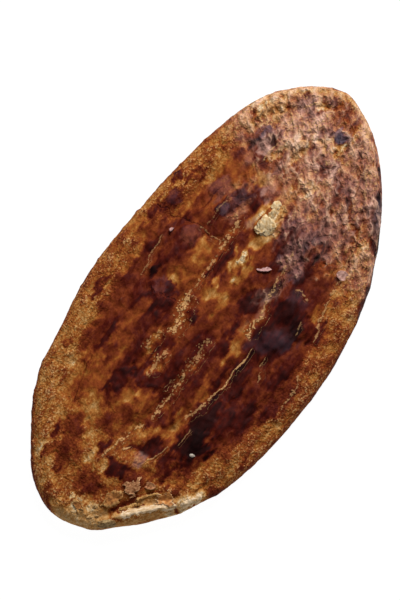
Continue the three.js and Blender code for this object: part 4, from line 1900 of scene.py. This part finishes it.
@dataclass
class Studio:
    """A light table under one large soft light, with a weak fill. Lengths are in metres."""

    finish: OpalAcrylic
    table_size: float = 40.0
    key_from: tuple[float, float, float] = (0.74, 0.20, 0.64)
    key_distance: float = 1.6
    key_size: float = 0.9
    key_power: float = 34.5
    fill: float = 0.18

    def build(self) -> None:
        """Builds the table, the key light and the fill."""
        self._lay_table()
        self._hang_key()
        self._fill_room()

    def _lay_table(self) -> None:
        """Lays the pale table under the loaf."""
        deselect_all()
        bpy.ops.mesh.primitive_plane_add(size=self.table_size)
        table = bpy.context.object
        table.name = "light_table"
        table.data.materials.append(self.finish.material())

    def _hang_key(self) -> None:
        """Hangs the soft light on the side of the pointed end."""
        towards = Vector(self.key_from).normalized()
        bpy.ops.object.light_add(type="AREA", location=towards * self.key_distance)
        key = bpy.context.object
        key.rotation_euler = towards.to_track_quat("Z", "Y").to_euler()
        key.data.shape = "DISK"
        key.data.size = self.key_size
        key.data.energy = self.key_power

    def _fill_room(self) -> None:
        """Fills the shadows weakly, and shows white past the table's edge."""
        world = bpy.data.worlds.new("soft_fill")
        world.use_nodes = True
        tree = world.node_tree
        seen = add_node(tree, "ShaderNodeLightPath").outputs["Is Camera Ray"]
        strength = add_node(
            tree, "ShaderNodeMapRange", inputs={"Value": seen, "To Min": self.fill, "To Max": 1.0}
        ).outputs["Result"]
        background = tree.nodes["Background"]
        background.inputs["Color"].default_value = (1.0, 1.0, 1.0, 1.0)
        tree.links.new(strength, background.inputs["Strength"])
        bpy.context.scene.world = world
        bpy.context.scene.view_settings.view_transform = "Standard"


@dataclass
class Viewpoint:
    """The camera: almost straight above the loaf, with the pointed end to the upper right."""

    azimuth: float = -56.0
    elevation: float = 78.0
    target: tuple[float, float, float] = (-3.6, 11.0, 10.0)
    distance: float = 809.0
    lens: float = 85.0

    def build(self) -> None:
        """Builds the camera."""
        turn, rise = math.radians(self.azimuth), math.radians(self.elevation)
        back = Vector((math.sin(turn) * math.cos(rise), -math.cos(turn) * math.cos(rise), math.sin(rise)))
        data = bpy.data.cameras.new("camera")
        data.lens = self.lens
        camera = bpy.data.objects.new("camera", data)
        camera.location = (Vector(self.target) + back * self.distance) * MM
        camera.rotation_euler = back.to_track_quat("Z", "Y").to_euler()
        bpy.context.scene.collection.objects.link(camera)
        bpy.context.scene.camera = camera


def torn_rim() -> tuple[Bit, ...]:
    """Lists the pieces of the torn rim: bare crumb, ridges of thin crust, loose flakes and crumbs.

    Returns:
        The pieces, in the order in which they are built.
    """
    crumb = DryFlake("torn_crumb", "#ead1b0", "#b98f58", mottle=1.2, fibre=4.0, roughness=0.85)
    thin = DryFlake("thin_crust", "#d3a564", "#925f2a", mottle=1.2, fibre=4.0)
    orange = DryFlake("orange_crust", "#cc8a48", "#97582c", worn="#dab585")
    golden = DryFlake("golden_skin", "#b0733a", "#6c3a14", worn="#cfa062")
    pinkish = DryFlake("pinkish_skin", "#c48c60", "#7e4826", worn="#d3a375")
    dough = DryFlake("pale_dough", "#d8b27c", "#996d3c")
    egg = DryFlake("egg_wash", "#b29364", "#67451f")
    return (
        TornStrip(
            "crumb_strip",
            crumb,
            (
                (-130.2, -20.3), (-125.4, -24.6), (-119, -30.1),
                (-114.4, -35.3), (-110.6, -39.6), (-107.6, -44.4),
            ),
            width=5.6,
        ),
        TornStrip("crumb_end", crumb, ((-106.6, -45), (-102, -48.2), (-95, -52.2)), width=5.4),
        TornStrip(
            "crust_ridge_1",
            thin,
            ((-127.7, -18), (-124.3, -20.8), (-120.1, -24.1), (-117.7, -27.4)),
            width=2.4,
        ),
        TornStrip(
            "crust_ridge_2",
            thin,
            ((-117.8, -23), (-113.8, -25.9), (-110.5, -28.8), (-107.3, -31.8)),
            width=2.2,
        ),
        SkinFlake("orange_flake", orange, at=(-108.1, -36.4), half=(6.6, 3.8), turn=-58, clearance=0.9),
        SkinFlake("golden_flake", golden, at=(-123.9, -12.4), half=(7.4, 3.7), turn=-20),
        SkinFlake("pinkish_flake", pinkish, at=(-113.3, -17.9), half=(6.0, 3.7), turn=-15),
        SkinFlake("tan_flake", golden, at=(-137.3, 1), half=(4.9, 2.6), turn=82),
        Chip("curl", pinkish, at=(-107, -25.4), length=7.2, width=4.4, turn=-72, blunt=0.5),
        Crumb("egg_lump", egg, at=(-136.8, -17.3), size=(12.0, 4.8, 2.6), turn=-50),
        Crumb("dough_crumb_1", dough, at=(-135, 7), size=(3.4, 2.8, 1.6), turn=30),
        Crumb("dough_crumb_2", dough, at=(-139.6, -7), size=(3.0, 2.2, 1.4), turn=-50),
        Crumb("dough_crumb_3", dough, at=(-136.8, -10.2), size=(2.4, 1.8, 1.2), turn=-50),
        Crumb("dough_crumb_4", dough, at=(-132.7, -6.6), size=(3.4, 3.0, 1.8), turn=-30),
    )


def loose_bits() -> tuple[Bit, ...]:
    """Lists the pale blisters, the curled chips and the burnt flecks that stand on the crust.

    Returns:
        The pieces, in the order in which they are built.
    """
    blister = DryFlake("pale_blister", "#e6d0a6", "#c29a64", mottle=2.4, pits=0.3)
    rosy = DryFlake("rosy_flake", "#c2968f", "#82605f")
    pink = DryFlake("pink_flake", "#dbab9c", "#a87a6d")
    char = DryFlake("char", "#3a2a26", "#120c0b")
    return (
        Crumb("blister_1", blister, at=(51.6, 3), size=(11.4, 9.6, 1.8), turn=30, sunk=0.45),
        Crumb("blister_2", blister, at=(48.6, 4.8), size=(6.2, 5.4, 1.8), turn=-40, sunk=0.2),
        Crumb("blister_3", blister, at=(54.2, 0.8), size=(6.0, 5.2, 1.8), turn=10, sunk=0.2),
        Crumb("blister_4", blister, at=(59.8, 2.8), size=(7.4, 7.4, 1.8), turn=20, sunk=0.35),
        Crumb("blister_5", blister, at=(65.6, 4.8), size=(6.2, 4.8, 1.6), sunk=0.25),
        Chip("long_chip", rosy, at=(30.1, -10.4), length=8.8, width=4.2, turn=-65, curl=0.5, lift=0.8),
        Chip("broad_chip", pink, at=(53.2, -48.8), length=8.0, width=5.8, turn=-78, blunt=0.45, curl=0.4),
        Chip("twin_chip", rosy, at=(20.5, 46.6), length=3.4, width=2.4, turn=20, blunt=0.5),
        Crumb("burnt_fleck_1", char, at=(119.4, -31.6), size=(2.6, 1.8, 1.6), turn=30),
        Crumb("burnt_fleck_2", char, at=(75.4, -57.4), size=(2.4, 1.6, 1.4), turn=20),
    )


def main() -> None:
    """Builds the loaf and what lies on it, then the studio and the camera."""
    logging.basicConfig(level=logging.INFO, format="%(message)s")
    Viewpoint().build()
    loaf = Loaf(BakedCrust()).build()
    for piece in (SesameSeed("sesame_seed", SeedCoat()), *torn_rim(), *loose_bits()):
        piece.build(loaf)
    Studio(OpalAcrylic()).build()


if __name__ == "__main__":
    main()
